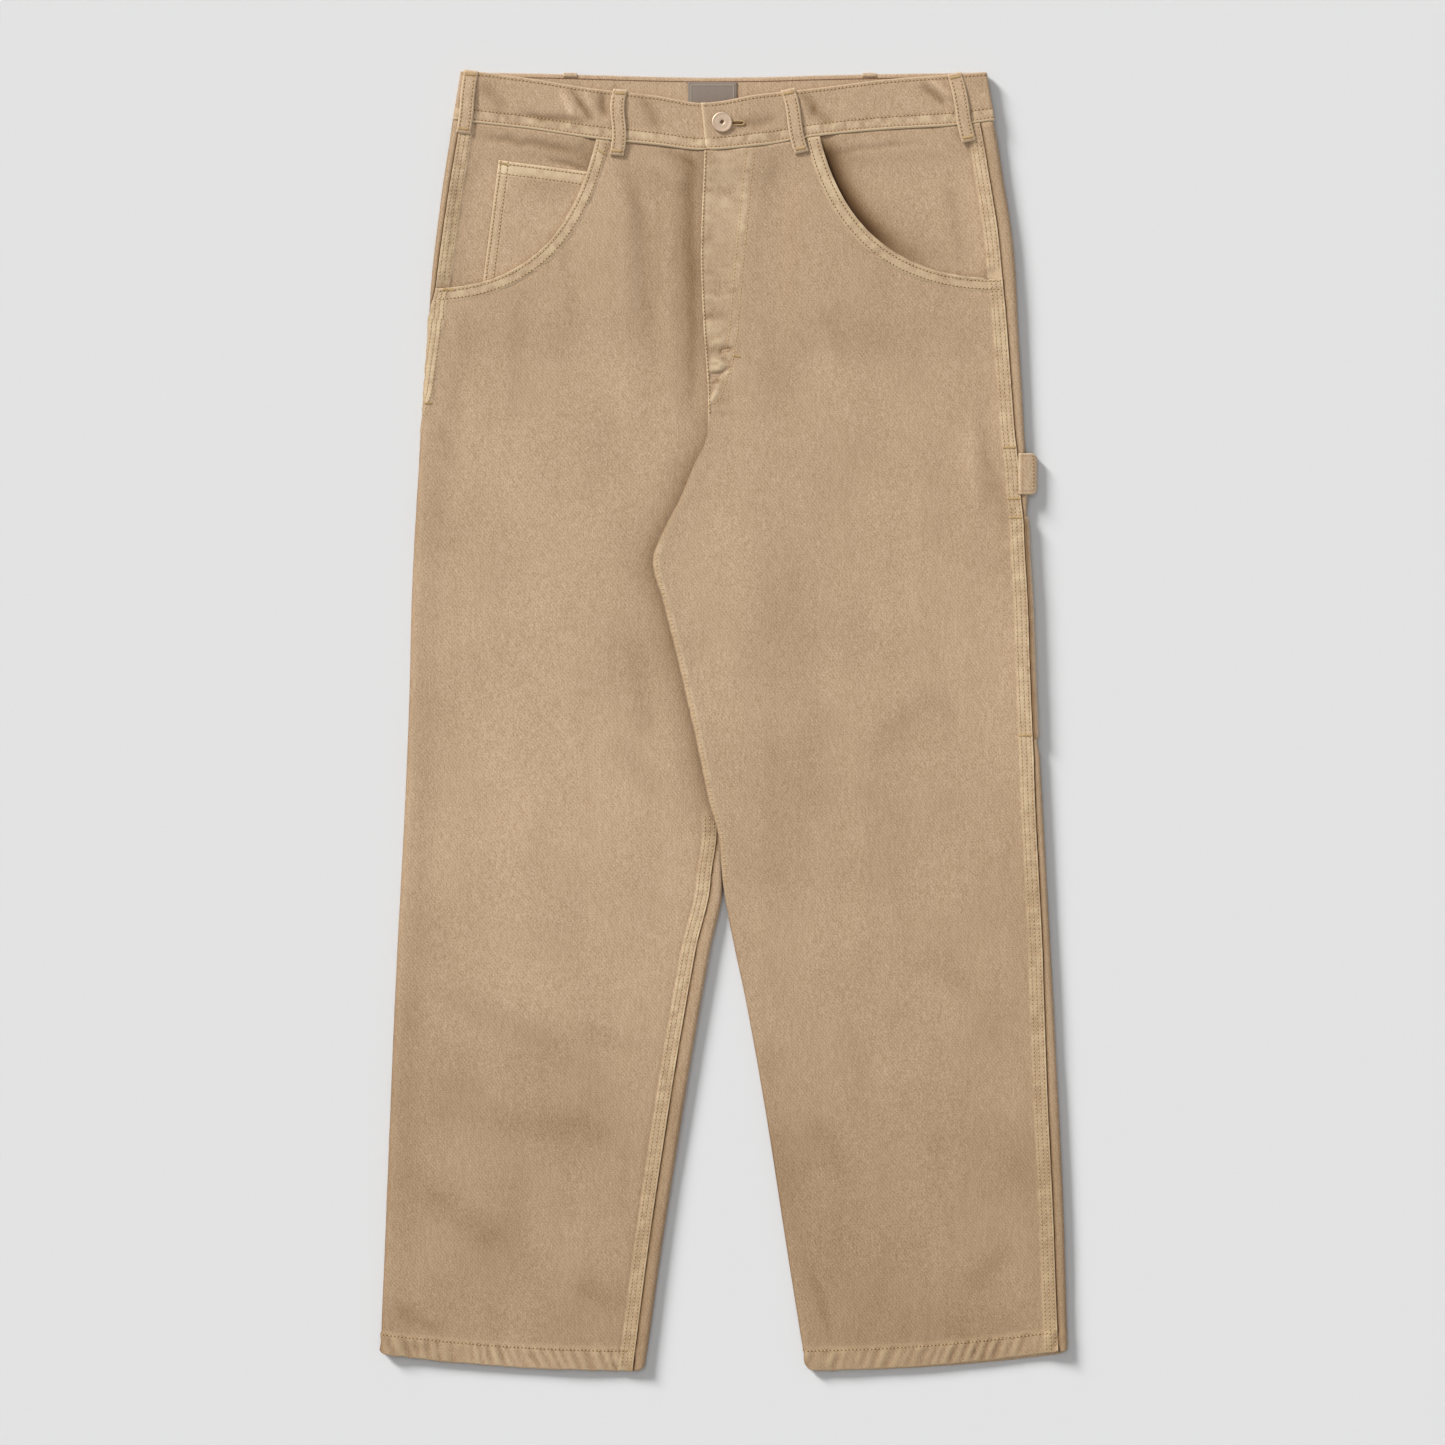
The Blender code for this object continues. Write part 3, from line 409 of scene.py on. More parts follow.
class Leg:
    """One leg's tables as functions of y, and its ring-shaped sections as a surface.

    A place is a length along a ring, from the outer silhouette over the top to the inner side and back
    underneath. Where a patch is sewn over the outer side, the leg lies a patch's thickness further in.
    tuck is how much further the front reaches under the fly's edge."""

    RING_STEP = 2.0
    SAMPLES = 1500

    def __init__(self, rows, inward, patched, tuck):
        self.inward = inward
        self.patched = patched
        self.tuck = tuck
        self.edge = curve(rows["y"], rows["outer"])
        self.seam_inset = curve(rows["y"], rows["outseam"])
        for name in ("inner", "inseam", "back_seam"):
            setattr(self, name, curve(rows["y"], rows[name]))

    def under_patch(self, y):
        """How far the leg draws in under the patch on its outer side."""
        return PATCH_LIFT * ease((y + 30) / 14) * ease((176 - y) / 11) if self.patched else 0.0

    def outer(self, y):
        """The outer silhouette of the leg's own cloth."""
        return self.edge(y) + self.inward * self.under_patch(y)

    def outseam(self, y):
        """How far in from that silhouette the side seam lies."""
        return self.seam_inset(y) - self.under_patch(y)

    def sample(self):
        """Works out the rings once, so that whole grids of points can be read from them."""
        self.ys = np.arange(-524.0, 490.0, self.RING_STEP)
        shares = np.linspace(0, 1, self.SAMPLES)
        self.rings = []
        tops = []
        seams = {"total": [], "front": [], "front_end": [], "back": [], "back_end": []}
        for y in self.ys:
            section = ring(self, y)
            lengths = section["lengths"]
            total = lengths[-1]
            columns = (*section["points"].T, *section["normals"].T)
            self.rings.append(np.stack([np.interp(shares * total, lengths, c) for c in columns]))
            middle = section["inner"] + 1
            insets = np.linspace(0, section["width"], self.SAMPLES)
            tops.append(np.interp(insets, section["points"][:middle, 0], lengths[:middle]))
            outseam = seam_length(section, self.outseam(y), "outer")
            seams["total"].append(total)
            seams["front"].append(outseam + SEAM_GAP / 2)
            tucked = self.tuck * ease((y - 222) / 8)
            seams["front_end"].append(seam_length(section, self.inseam(y) - tucked, "inner") - SEAM_GAP / 2)
            seams["back"].append(total + outseam - SEAM_GAP / 2)
            seams["back_end"].append(seam_length(section, self.back_seam(y), "inner") + SEAM_GAP / 2)
        self.rings = np.array(self.rings)
        self.tops = np.array(tops)
        self.seams = {name: np.array(values) for name, values in seams.items()}

    def seam(self, name, y):
        """The place of a named seam at a height."""
        return np.interp(y, self.ys, self.seams[name])

    def row_of(self, y):
        """The ring just below y, and how far y lies on the way to the next one."""
        row = np.clip((y - self.ys[0]) / self.RING_STEP, 0, len(self.ys) - 1.001)
        low = row.astype(int)
        return low, row - low

    def place_of(self, x, y):
        """The place on top that lies over (x, y)."""
        x, y = np.broadcast_arrays(np.asarray(x, float), np.asarray(y, float))
        low, up = self.row_of(y)
        inset = np.abs(x - self.outer(y)) / np.abs(self.inner(y) - self.outer(y))
        share = np.clip(inset, 0, 0.9999) * (self.SAMPLES - 1)
        column = share.astype(int)
        across = share - column
        first = self.tops[low, column] * (1 - across) + self.tops[low, column + 1] * across
        second = self.tops[low + 1, column] * (1 - across) + self.tops[low + 1, column + 1] * across
        return first * (1 - up) + second * up

    def at(self, y, place):
        """Points and outward normals for arrays of y and place."""
        y, place = np.broadcast_arrays(np.asarray(y, float), np.asarray(place, float))
        low, part = self.row_of(y)
        share = np.mod(place / self.seam("total", y), 1.0) * (self.SAMPLES - 1)
        column = np.clip(share.astype(int), 0, self.SAMPLES - 2)
        rest = share - column
        values = []
        for k in range(4):
            field = self.rings[:, k]
            first = field[low, column] * (1 - rest) + field[low, column + 1] * rest
            second = field[low + 1, column] * (1 - rest) + field[low + 1, column + 1] * rest
            values.append(first * (1 - part) + second * part)
        inset, height, across, up = values
        size = np.hypot(across, up)
        points = np.stack((self.outer(y) + self.inward * inset, y, height), axis=-1)
        normals = np.stack((self.inward * across / size, np.zeros_like(y), up / size), axis=-1)
        return points, normals


right_leg = Leg(RIGHT, 1, patched=False, tuck=5.0)
left_leg = Leg(LEFT, -1, patched=True, tuck=0.0)
outer_top = curve(SIDES["y"], SIDES["outer_top"])
right_inner_top = curve(SIDES["y"], SIDES["right_inner_top"])
band_bottom = curve(BAND["x"], BAND["bottom"])
band_top = curve(BAND["x"], BAND["top"])
back_band_top = curve(BAND["x"], BAND["back_top"])
facing_reach_right = curve(FACING_REACH["y"], FACING_REACH["right"])
facing_reach_left = curve(FACING_REACH["y"], FACING_REACH["left"])


def back_band_bottom(x):
    """The back waistband's lower edge."""
    return back_band_top(x) - BAND_HIGH


def bezier(corners, t):
    """Points along a cubic curve from its first corner to its last."""
    first, second, third, last = (np.array(corner, float) for corner in corners)
    t = np.asarray(t, float)[..., None]
    return first * (1 - t) ** 3 + 3 * second * t * (1 - t) ** 2 + 3 * third * t * t * (1 - t) + last * t**3


def mouth_y(corners):
    """The pocket mouth as a function of x."""
    points = bezier(corners, np.linspace(0, 1, 40))
    return curve(points[:, 0], points[:, 1])


mouth_right_y = mouth_y(MOUTH_RIGHT)
mouth_left_y = mouth_y(MOUTH_LEFT)


def base(leg, x, y):
    """The height of the leg's underside: 0 where it rests, more over layers that lie beneath it."""
    height = np.full(np.shape(x), WAIST_LIFT * ease((y - 430) / 34))
    if leg is left_leg:
        over_patch = ease((x - 60) / 30) * ease((y + 30) / 14) * ease((232 - y) / 12)
        across = 1 - ease((x - right_leg.inner(y) - 1.5) / 17)
        over_leg = ease((y + 162) / 44) * ease((250 - y) / 26) * across
        height = height + PATCH_LIFT * over_patch + CROTCH_LIFT * over_leg
    return height


def front_base(leg, x, y):
    """The height that the front cloth starts from. It rises over what lies beneath on long easy slopes."""
    height = np.full(np.shape(x), WAIST_LIFT * ease((y - 430) / 34))
    if leg is left_leg:
        over_patch = ease((x - 60) / 120) * ease((y + 90) / 110) * ease((270 - y) / 90)
        across = 1 - ease((x - right_leg.inner(y) - 1.5) / 95)
        over_leg = ease((y + 162) / 90) * ease((276 - y) / 66) * across
        height = height + PATCH_LIFT * over_patch + CROTCH_LIFT * over_leg
    return height


def level(leg, x, y):
    """The height of the front cloth away from the leg's sides."""
    pocket = ease((np.abs(x + 10) - 52) / 20) * ease((y - 285) / 47)
    height = front_base(leg, x, y) * (1 - pocket) + LEG_LEVEL
    height = height + (POCKET_LEVEL - height) * pocket
    height = height + (WAIST_LEVEL - height) * ease((y - band_bottom(x) + 46) / 40)
    if leg is left_leg:
        height = height + FLY_RISE * (1 - ease((x - 14) / 40)) * ease((y - 212) / 62)
    return height


def ring(leg, y):
    """A section of the leg: points (inset, height), outward normals and lengths along it."""
    width = abs(leg.inner(y) - leg.outer(y))
    turn = np.linspace(0, math.pi / 2, 9)
    inset = np.linspace(OUTER_ROUND, width - INNER_ROUND, 150)[1:-1]
    x = leg.outer(y) + leg.inward * inset
    low_out, low_in = base(leg, leg.outer(y), y), base(leg, leg.inner(y), y)
    high_out = outer_top(y)
    if leg is right_leg:
        high_in = right_inner_top(y) + level(leg, leg.inner(y), y) - LEG_LEVEL
    else:
        high_in = level(leg, leg.inner(y), y) + INNER_CURL
    middle = level(leg, x, y)
    at_outer = 1 - ease((inset - OUTER_ROUND) / SIDE_RUN)
    at_inner = 1 - ease((width - INNER_ROUND - inset) / INNER_RUN)
    top = middle + (high_out - middle) * at_outer + (high_in - middle) * at_inner
    half_out, half_in = (high_out - low_out) / 2, (high_in - low_in) / 2
    out_inset, in_inset = OUTER_ROUND * (1 - np.cos(turn)), INNER_ROUND * (1 - np.cos(turn))
    insets = np.concatenate(
        (out_inset, inset, width - in_inset[::-1], width - in_inset[1:], inset[::-1], out_inset[:0:-1])
    )
    heights = np.concatenate(
        (
            low_out + half_out * (1 + np.sin(turn)),
            top,
            low_in + half_in * (1 + np.sin(turn[::-1])),
            low_in + half_in * (1 - np.sin(turn[1:])),
            base(leg, x, y)[::-1],
            low_out + half_out * (1 - np.sin(turn[:0:-1])),
        )
    )
    points = np.stack((insets, heights), axis=1)
    along = np.roll(points, -1, axis=0) - np.roll(points, 1, axis=0)
    along /= np.linalg.norm(along, axis=1)[:, None]
    normals = np.stack((-along[:, 1], along[:, 0]), axis=1)
    closed = np.vstack((points, points[:1]))
    lengths = np.concatenate(([0.0], np.cumsum(np.linalg.norm(np.diff(closed, axis=0), axis=1))))
    return {
        "points": closed,
        "normals": np.vstack((normals, normals[:1])),
        "lengths": lengths,
        "inner": 2 * len(turn) + len(inset) - 1,
        "width": width,
    }


def seam_length(section, inset, side):
    """The length along the ring of a seam so far in from a silhouette, on top if inset is positive."""
    middle = section["inner"]
    insets, lengths = section["points"][:, 0], section["lengths"]
    wanted = abs(inset) if side == "outer" else section["width"] - abs(inset)
    if inset >= 0:
        return np.interp(wanted, insets[: middle + 1], lengths[: middle + 1])
    found = np.interp(wanted, insets[middle:][::-1], lengths[middle:][::-1])
    return found - lengths[-1] if side == "outer" else found


right_leg.sample()
left_leg.sample()


# Surface relief


def rucked(distance, along, seed):
    """Small puckers along a sewn band."""
    return noise(along / 4.6, distance / 7 + 3, seed) + 0.8 * noise(along / 2.6, distance / 4, seed + 1)


def band_relief(distance, along, rows, seed, width=SEAM_WIDTH):
    """How far a sewn band stands up: a step at its inner edge, furrows at its rows, and puckers."""
    on = 1 - ease((distance - width + 0.8) / 1.6)
    height = SEAM_RELIEF * on
    for row in rows:
        height = height - 0.16 * peak(distance - row, 0.7)
    height = height + 0.34 * rucked(distance, along, seed) * on
    beyond = fading(np.maximum(distance - width, 0), 9) * (1 - on)
    height = height + 0.34 * beyond * noise(along / 11, distance / 26, seed + 2)
    return height - 0.18 * peak(distance - width - 1.0, 1.6)


def band_wear(distance, along, rows, seed, width=SEAM_WIDTH):
    """How washed out a sewn band is, palest on its ridges; its darker stitch furrows are painted shade, and
    the dark line just past its edge is painted shadow.
    """
    on = 1 - ease((distance - width + 0.6) / 1.8)
    ruck = rucked(distance, along, seed)
    wear = on * (0.38 + 0.3 * ruck + 0.24 * noise(along / 17, distance / 9, seed + 9))
    wear = wear + 0.14 * peak(distance, 0.9)
    # Painted shade in the stitch furrows
    for row in rows:
        wear = wear - 0.08 * peak(distance - row, 0.8)
    # Painted shadow just past the band's raised edge
    return wear - 0.2 * peak(distance - width - 1.2, 1.3)


def loose_waves(x, y, seed):
    """Broad soft unevenness of cloth that lies flat."""
    return 0.6 * noise(x / 74, y / 96, seed) + 0.3 * noise(x / 31, y / 43, seed + 1)


def near_line(x, y, line):
    """The distance from points (x, y) to a line of points, and how far along the line that is."""
    best = np.full(np.shape(x), np.inf)
    along = np.zeros(np.shape(x))
    run = 0.0
    for (ax, ay), (bx, by) in zip(line[:-1], line[1:]):
        reach = math.hypot(bx - ax, by - ay)
        ux, uy = (bx - ax) / reach, (by - ay) / reach
        t = np.clip((x - ax) * ux + (y - ay) * uy, 0, reach)
        distance = np.hypot(x - ax - t * ux, y - ay - t * uy)
        nearer = distance < best
        best = np.where(nearer, distance, best)
        along = np.where(nearer, run + t, along)
        run += reach
    return best, along


def column_plan(fine_start, fine_end, middle):
    """Distances of the columns near the start, near the end, and the count between."""
    return np.array(fine_start), np.array(fine_end)[::-1], middle


SEAM_SIDE = (0, 0.35, 0.8, 1.3, 2.0, 2.7, 3.6, 4.6, 5.6, 6.5, 7.5, 8.4, 9.2, 10.0, 10.8, 11.6, 12.6,
             14.0, 16.0, 18.5, 21.5, 25.0)
PLAIN_SIDE = (0, 0.5, 1.2, 2.1, 3.4, 5.4, 8.0, 11.5, 16.0, 21.0)
FRONT_COLUMNS = column_plan(SEAM_SIDE, SEAM_SIDE, 66)
BACK_COLUMNS = column_plan(PLAIN_SIDE, PLAIN_SIDE, 50)


def spread(plan, start, end):
    """Places across each row: fixed distances near both ends, and even ones between."""
    first, last, count = plan
    step = np.sign(end - start)
    t = (np.arange(count) + 1) / (count + 1)
    run_from, run_to = start + step * first[-1], end - step * last[0]
    return np.concatenate(
        (
            start[..., None] + step[..., None] * first,
            run_from[..., None] + (run_to - run_from)[..., None] * t,
            end[..., None] - step[..., None] * last,
        ),
        axis=-1,
    )


def leg_rows(top, bottom, step, fine_top=0.0):
    """The y of each row down a leg, closer together under the pocket mouth and at the hem."""
    rows = []
    y = top
    while y > bottom + 2.2:
        rows.append(y)
        fine = y > top - fine_top or y < bottom + HEM_DEPTH + 4
        y -= 1.05 if fine else step
    return np.array(rows + [bottom + above for above in (1.6, 0.9, 0.4, 0.0)])


def hem_shift(row_y, share):
    """How far a row drops, at a share of the way in from the outer side: rows tilt toward the hem."""
    tilt = np.maximum(0.0, (HEM_TILT_FROM - row_y) / (HEM_TILT_FROM - HEM_Y))
    return HEM_DROP * tilt * (1 - (1 - share) ** 2)


def rolled(leg, y):
    """How much wider the right outseam's band is where it rolls over the side."""
    return 4.6 * ease((342 - y) / 34) * ease((y - 238) / 26) if leg is right_leg else 0.0 * y


def hem_corner(leg, x, y):
    """How far the hem lifts at both silhouettes, where its corners are worn round."""
    near = np.minimum(np.abs(x - leg.outer(y)), np.abs(x - leg.inner(y)))
    return 3.6 * (1 - np.clip(near / 7, 0, 1)) ** 2 * ease((HEM_Y + 14 - y) / 26)


def grid_of(leg, y_rows, plan, first, last):
    """A grid of y and place, where the rows run between two named seams of a leg."""
    start, end = leg.seam(first, y_rows), leg.seam(last, y_rows)
    places = spread(plan, start, end)
    share = (places - start[:, None]) / (end - start)[:, None]
    y = y_rows[:, None] - hem_shift(y_rows[:, None], share)
    exact = spread(plan, leg.seam(first, y), leg.seam(last, y))
    columns = np.arange(places.shape[1])
    return y, exact[:, columns, columns]


def front_grid(leg, mouth):
    """The front panel's grid: rows that fan out from the pocket mouth, and rows down the leg."""
    t = np.linspace(0, 1, 74)
    corner = bezier(mouth, t)
    start = np.maximum(leg.place_of(corner[:, 0], corner[:, 1]), leg.seam("front", corner[:, 1]))
    waist = band_bottom(-16.0)
    inner_y = waist + (POCKET_FOOT - waist) * t
    end = leg.seam("front_end", inner_y)
    places = spread(FRONT_COLUMNS, start, end)
    share = (places - start[:, None]) / (end - start)[:, None]
    y = corner[:, 1:2] + (inner_y - corner[:, 1])[:, None] * share
    for _ in range(2):
        x = leg.at(y[0], places[0])[0][:, 0]
        bend = band_bottom(x) - SEAM_GAP - y[0]
        y = y + bend[None, :] * (1 - t)[:, None]
    foot = mouth[3][1]
    rows = leg_rows(foot, HEM_Y, 2.15, fine_top=16)[1:]
    skew = (foot - POCKET_FOOT) * ease((rows - 318) / (foot - 318))
    low_y, low_places = grid_of(leg, rows, FRONT_COLUMNS, "front", "front_end")
    share = (low_places - low_places[:, :1]) / (low_places[:, -1:] - low_places[:, :1])
    low_y = low_y - skew[:, None] * share
    return np.vstack((y, low_y)), np.vstack((places, low_places)), len(t)


def in_hem(from_hem):
    """1 within the turned hem, 0 above it, and a soft step between."""
    return 1 - ease((from_hem - HEM_DEPTH + 0.6) / 1.6)


def hem_rope(from_hem, along, seed):
    """The slanted, uneven ridges that washing twists into a hem, between -1 and 1."""
    lean = 0.35 + 0.25 * noise(along / 60, 0.0, seed + 8)
    slant = along + lean * from_hem
    ropes = np.sin(slant / 1.4 + 2.2 * noise(slant / 13, 0.0, seed))
    ropes = ropes * (0.75 + 0.5 * noise(slant / 17, 3.0, seed))
    return ropes + 0.55 * noise(slant / 5.5, from_hem / 8, seed + 7)


def hem_relief(from_hem, along, rope, seed):
    """The turned hem stands up, ropes on the slant, and dips along its row."""
    on = in_hem(from_hem)
    belly = np.sin(np.clip(from_hem / HEM_DEPTH, 0, 1) * math.pi) ** 0.6
    height = 0.5 * on + 0.95 * on * rope * belly
    height = height - 0.42 * peak(from_hem - HEM_DEPTH + HEM_ROW, 0.8)
    above = fading(np.maximum(from_hem - HEM_DEPTH, 0), 8) * (1 - on)
    return height + 0.3 * above * noise(along / 8, 0.0, seed + 4)


# Mesh building


def linear(hex_colour):
    """An sRGB hex value as the linear colour that a shader takes."""
    parts = [int(hex_colour[i : i + 2], 16) / 255 for i in (0, 2, 4)]
    return tuple(c / 12.92 if c <= 0.04045 else ((c + 0.055) / 1.055) ** 2.4 for c in parts) + (1.0,)


def add_object(name, points, faces, material, flat_from=None, **fields):
    """A mesh object from drawing points in millimetres, with named values for its points."""
    mesh = bpy.data.meshes.new(name)
    mesh.from_pydata([tuple(p) for p in (np.asarray(points) - CENTRE) * MM], [], faces)
    smooth = np.ones(len(mesh.polygons), bool)
    if flat_from is not None:
        smooth[flat_from:] = False
    mesh.polygons.foreach_set("use_smooth", smooth)
    for field, values in fields.items():
        attribute = mesh.attributes.new(field, "FLOAT", "POINT")
        whole = np.zeros(len(mesh.vertices), np.float32)
        whole[: len(values)] = values
        attribute.data.foreach_set("value", whole)
    mesh.materials.append(material)
    made = bpy.data.objects.new(name, mesh)
    bpy.context.scene.collection.objects.link(made)
    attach(made, "root")
    return made


def thin(count, step):
    """Every so many of a count of indices, with the last one kept."""
    kept = list(range(0, count, step))
    return kept if kept[-1] == count - 1 else kept + [count - 1]


def quads(rows, columns, first=0):
    """The four-sided faces of a grid of points, as numbers of its points."""
    corner = (np.arange(rows - 1)[:, None] * columns + np.arange(columns - 1)[None, :]).ravel() + first
    return np.stack((corner, corner + 1, corner + columns + 1, corner + columns), axis=1)


def shell(name, outer, inner, material, step=4, **fields):
    """A closed sheet: a fine outer grid, a coarser inner one, and a rim between them."""
    rows, columns = outer.shape[:2]
    keep_rows, keep_columns = thin(rows, step), thin(columns, step)
    low = inner[np.ix_(keep_rows, keep_columns)]
    low_columns = len(keep_columns)
    below = rows * columns
    faces = quads(rows, columns).tolist()
    faces += quads(len(keep_rows), low_columns, below)[:, ::-1].tolist()
    rim_from = len(faces)

    def side(kept, high, under, forward):
        for k in range(len(kept) - 1):
            top = [high(i) for i in range(kept[k], kept[k + 1] + 1)]
            face = top + [under(k + 1), under(k)]
            faces.append(face if forward else face[::-1])

    side(keep_columns, lambda j: j, lambda k: below + k, False)
    last_low = below + (len(keep_rows) - 1) * low_columns
    side(keep_columns, lambda j: (rows - 1) * columns + j, lambda k: last_low + k, True)
    side(keep_rows, lambda i: i * columns, lambda k: below + k * low_columns, True)
    side(keep_rows, lambda i: i * columns + columns - 1, lambda k: below + (k + 1) * low_columns - 1, False)
    points = np.concatenate((outer.reshape(-1, 3), low.reshape(-1, 3)))
    fields = {field: np.asarray(values).ravel() for field, values in fields.items()}
    made = add_object(name, points, faces, material, flat_from=rim_from, **fields)
    if outward_is_wrong(outer, inner):
        made.data.flip_normals()
    return made


def outward_is_wrong(outer, inner):
    """Whether the outer grid's faces, as they are wound, look toward the inner grid."""
    rows, columns = outer.shape[0] // 2, outer.shape[1] // 2
    across = outer[rows, columns + 1] - outer[rows, columns]
    down = outer[rows + 1, columns] - outer[rows, columns]
    return float(np.cross(across, down) @ (outer[rows, columns] - inner[rows, columns])) < 0


def edge_round(distance, cloth=CLOTH):
    """A cut or folded edge is round: the surface falls by half the cloth over the last bit."""
    return -0.55 * cloth * np.clip(1 - distance / 1.1, 0, 1) ** 2


# Materials


def add_node(tree, kind, settings=(), **inputs):
    """Adds one node: its settings, and for each input a value or the output that feeds it.

    An input goes by its name, or by its number where two inputs share a name: _6 is input 6."""
    made = tree.nodes.new(kind)
    for name, value in dict(settings).items():
        setattr(made, name, value)
    for name, value in inputs.items():
        socket = made.inputs[int(name[1:])] if name[1:].isdigit() else made.inputs[name.replace("_", " ")]
        if isinstance(value, bpy.types.NodeSocket):
            tree.links.new(value, socket)
        else:
            socket.default_value = value
    return made


def new_material(name):
    """An empty material, its node tree, its shader and the place on the object that patterns start from."""
    material = bpy.data.materials.new(name)
    material.use_nodes = True
    tree = material.node_tree
    place = add_node(tree, "ShaderNodeTexCoord").outputs["Object"]
    return material, tree, tree.nodes["Principled BSDF"], place


def specks(tree, place, size, **settings):
    """Soft random specks of a size in metres."""
    return add_node(tree, "ShaderNodeTexNoise", Vector=place, Scale=1 / size, **settings).outputs["Fac"]


def ribs(tree, place, pitch, **settings):
    """Even ribs so far apart, in metres."""
    scale = WAVE_PERIOD / pitch
    return add_node(tree, "ShaderNodeTexWave", Vector=place, Scale=scale, **settings).outputs["Fac"]


def combine(tree, operation, *values, clamp=False):
    """The outcome of one sum on values and outputs."""
    inputs = {f"_{number}": value for number, value in enumerate(values)}
    settings = {"operation": operation, "use_clamp": clamp}
    return add_node(tree, "ShaderNodeMath", settings, **inputs).outputs[0]


def ranged(tree, value, **limits):
    """A value moved from one range to another, and held within it."""
    return add_node(tree, "ShaderNodeMapRange", Value=value, **limits).outputs[0]


def mixed(tree, factor, low_hex, high_hex):
    """A colour between two hex values."""
    kind = {"data_type": "RGBA"}
    colours = {"_6": linear(low_hex), "_7": linear(high_hex)}
    return add_node(tree, "ShaderNodeMix", kind, Factor=factor, **colours).outputs[2]


def use_relief(tree, shader, height, strength, distance):
    """Gives a shader a fine relief."""
    relief = add_node(tree, "ShaderNodeBump", Height=height, Strength=strength, Distance=distance)
    tree.links.new(relief.outputs["Normal"], shader.inputs["Normal"])


# A wave texture's bands at scale 1 lie this far apart
WAVE_PERIOD = math.pi / 10

# The twill's diagonal, its specks, the patches that the wash leaves, and the thick places in its yarn
TWILL_PITCH = 2.4 * MM
MOTTLE_SIZE = 0.9 * MM
PATCH_SIZE = 95 * MM
SLUB_WIDTH, SLUB_LENGTH = 1.0 * MM, 8 * MM


def washed_twill(name, dark_hex, light_hex, ridge_hex, dark_tone_and_shade_hex, wash_and_shade_hex):
    """Garment-washed cotton twill: dry and matt, mottled by the wash and paler on rubbed ridges; its darker
    furrows, seam lines and creases are painted shade.

    The diagonal is drawn coarser than the real 0.8 mm, so that it is not lost between pixels."""
    material, tree, shader, place = new_material(name)
    wear, shade = (
        add_node(tree, "ShaderNodeAttribute", {"attribute_name": field}).outputs["Fac"]
        for field in ("wear", "shade")
    )
    mottle = specks(tree, place, MOTTLE_SIZE, Detail=5.0, Roughness=0.62)
    patches = specks(tree, place, PATCH_SIZE, Detail=3.0, Roughness=0.5)
    along_warp = (1 / SLUB_WIDTH, 1 / SLUB_LENGTH, 1 / SLUB_WIDTH)
    stretched = add_node(tree, "ShaderNodeMapping", Vector=place, Scale=along_warp).outputs["Vector"]
    slubs = specks(tree, stretched, 1.0, Detail=3.0)
    lean = (0.0, 0.0, math.radians(-38))
    turned = add_node(tree, "ShaderNodeMapping", Vector=place, Rotation=lean).outputs["Vector"]
    diagonal = ribs(tree, turned, TWILL_PITCH, Distortion=1.4, Detail=2.0, Detail_Scale=1.5)
    grain = combine(tree, "MULTIPLY_ADD", mottle, 0.7, 0.0)
    grain = combine(tree, "MULTIPLY_ADD", slubs, 0.22, grain)
    grain = combine(tree, "MULTIPLY_ADD", diagonal, 0.05, grain)
    tone = ranged(tree, grain, From_Min=0.36, From_Max=0.66)
    body = mixed(tree, tone, dark_hex, light_hex)
    broad = ranged(tree, patches, From_Min=0.4, From_Max=0.75, To_Max=0.3)
    # Layers: paler where rubbed; a deep colour for darker tone and for painted shade and painted shadow in
    # furrows, seam gaps, puckers and pocket mouths; a multiplied colour for the wash's patches, darker
    # tone, and painted shade and painted highlight on sides and creases
    for factor, colour, blend in (
        (combine(tree, "MULTIPLY", wear, 0.8, clamp=True), ridge_hex, "MIX"),
        (combine(tree, "MULTIPLY", wear, -1.0, clamp=True), dark_tone_and_shade_hex, "MIX"),
        (combine(tree, "ADD", broad, shade), wash_and_shade_hex, "MULTIPLY"),
    ):
        settings = {"data_type": "RGBA", "blend_type": blend, "clamp_factor": blend == "MIX"}
        layer = add_node(tree, "ShaderNodeMix", settings, Factor=factor, _6=body, _7=linear(colour))
        body = layer.outputs[2]
    use_relief(tree, shader, grain, 0.6, 0.3 * MM)
    tree.links.new(body, shader.inputs["Base Color"])
    shader.inputs["Roughness"].default_value = 0.92
    shader.inputs["Sheen Weight"].default_value = 0.12
    shader.inputs["Sheen Roughness"].default_value = 0.5
    return material


def sewing_thread(name, colour_hex, deep_hex):
    """Spun thread: twisted plies catch a little light, and the dye is uneven."""
    material, tree, shader, place = new_material(name)
    uneven = specks(tree, place, 2.5 * MM, Detail=2.0)
    colour = mixed(tree, uneven, deep_hex, colour_hex)
    twist = ribs(tree, place, 0.5 * MM, Distortion=0.6, Detail=1.0)
    use_relief(tree, shader, twist, 0.4, 0.08 * MM)
    tree.links.new(colour, shader.inputs["Base Color"])
    shader.inputs["Roughness"].default_value = 0.62
    return material


def plated_metal(name, colour_hex, dull_hex):
    """Copper-coloured plating on brass, dulled by the wash and a little cloudy."""
    material, tree, shader, place = new_material(name)
    cloud = specks(tree, place, 4.0 * MM, Detail=4.0)
    scratches = specks(tree, place, 0.5 * MM, Detail=3.0)
    colour = mixed(tree, cloud, dull_hex, colour_hex)
    rough = ranged(tree, scratches, To_Min=0.46, To_Max=0.64)
    use_relief(tree, shader, scratches, 0.2, 0.05 * MM)
    tree.links.new(colour, shader.inputs["Base Color"])
    tree.links.new(rough, shader.inputs["Roughness"])
    shader.inputs["Metallic"].default_value = 1.0
    return material


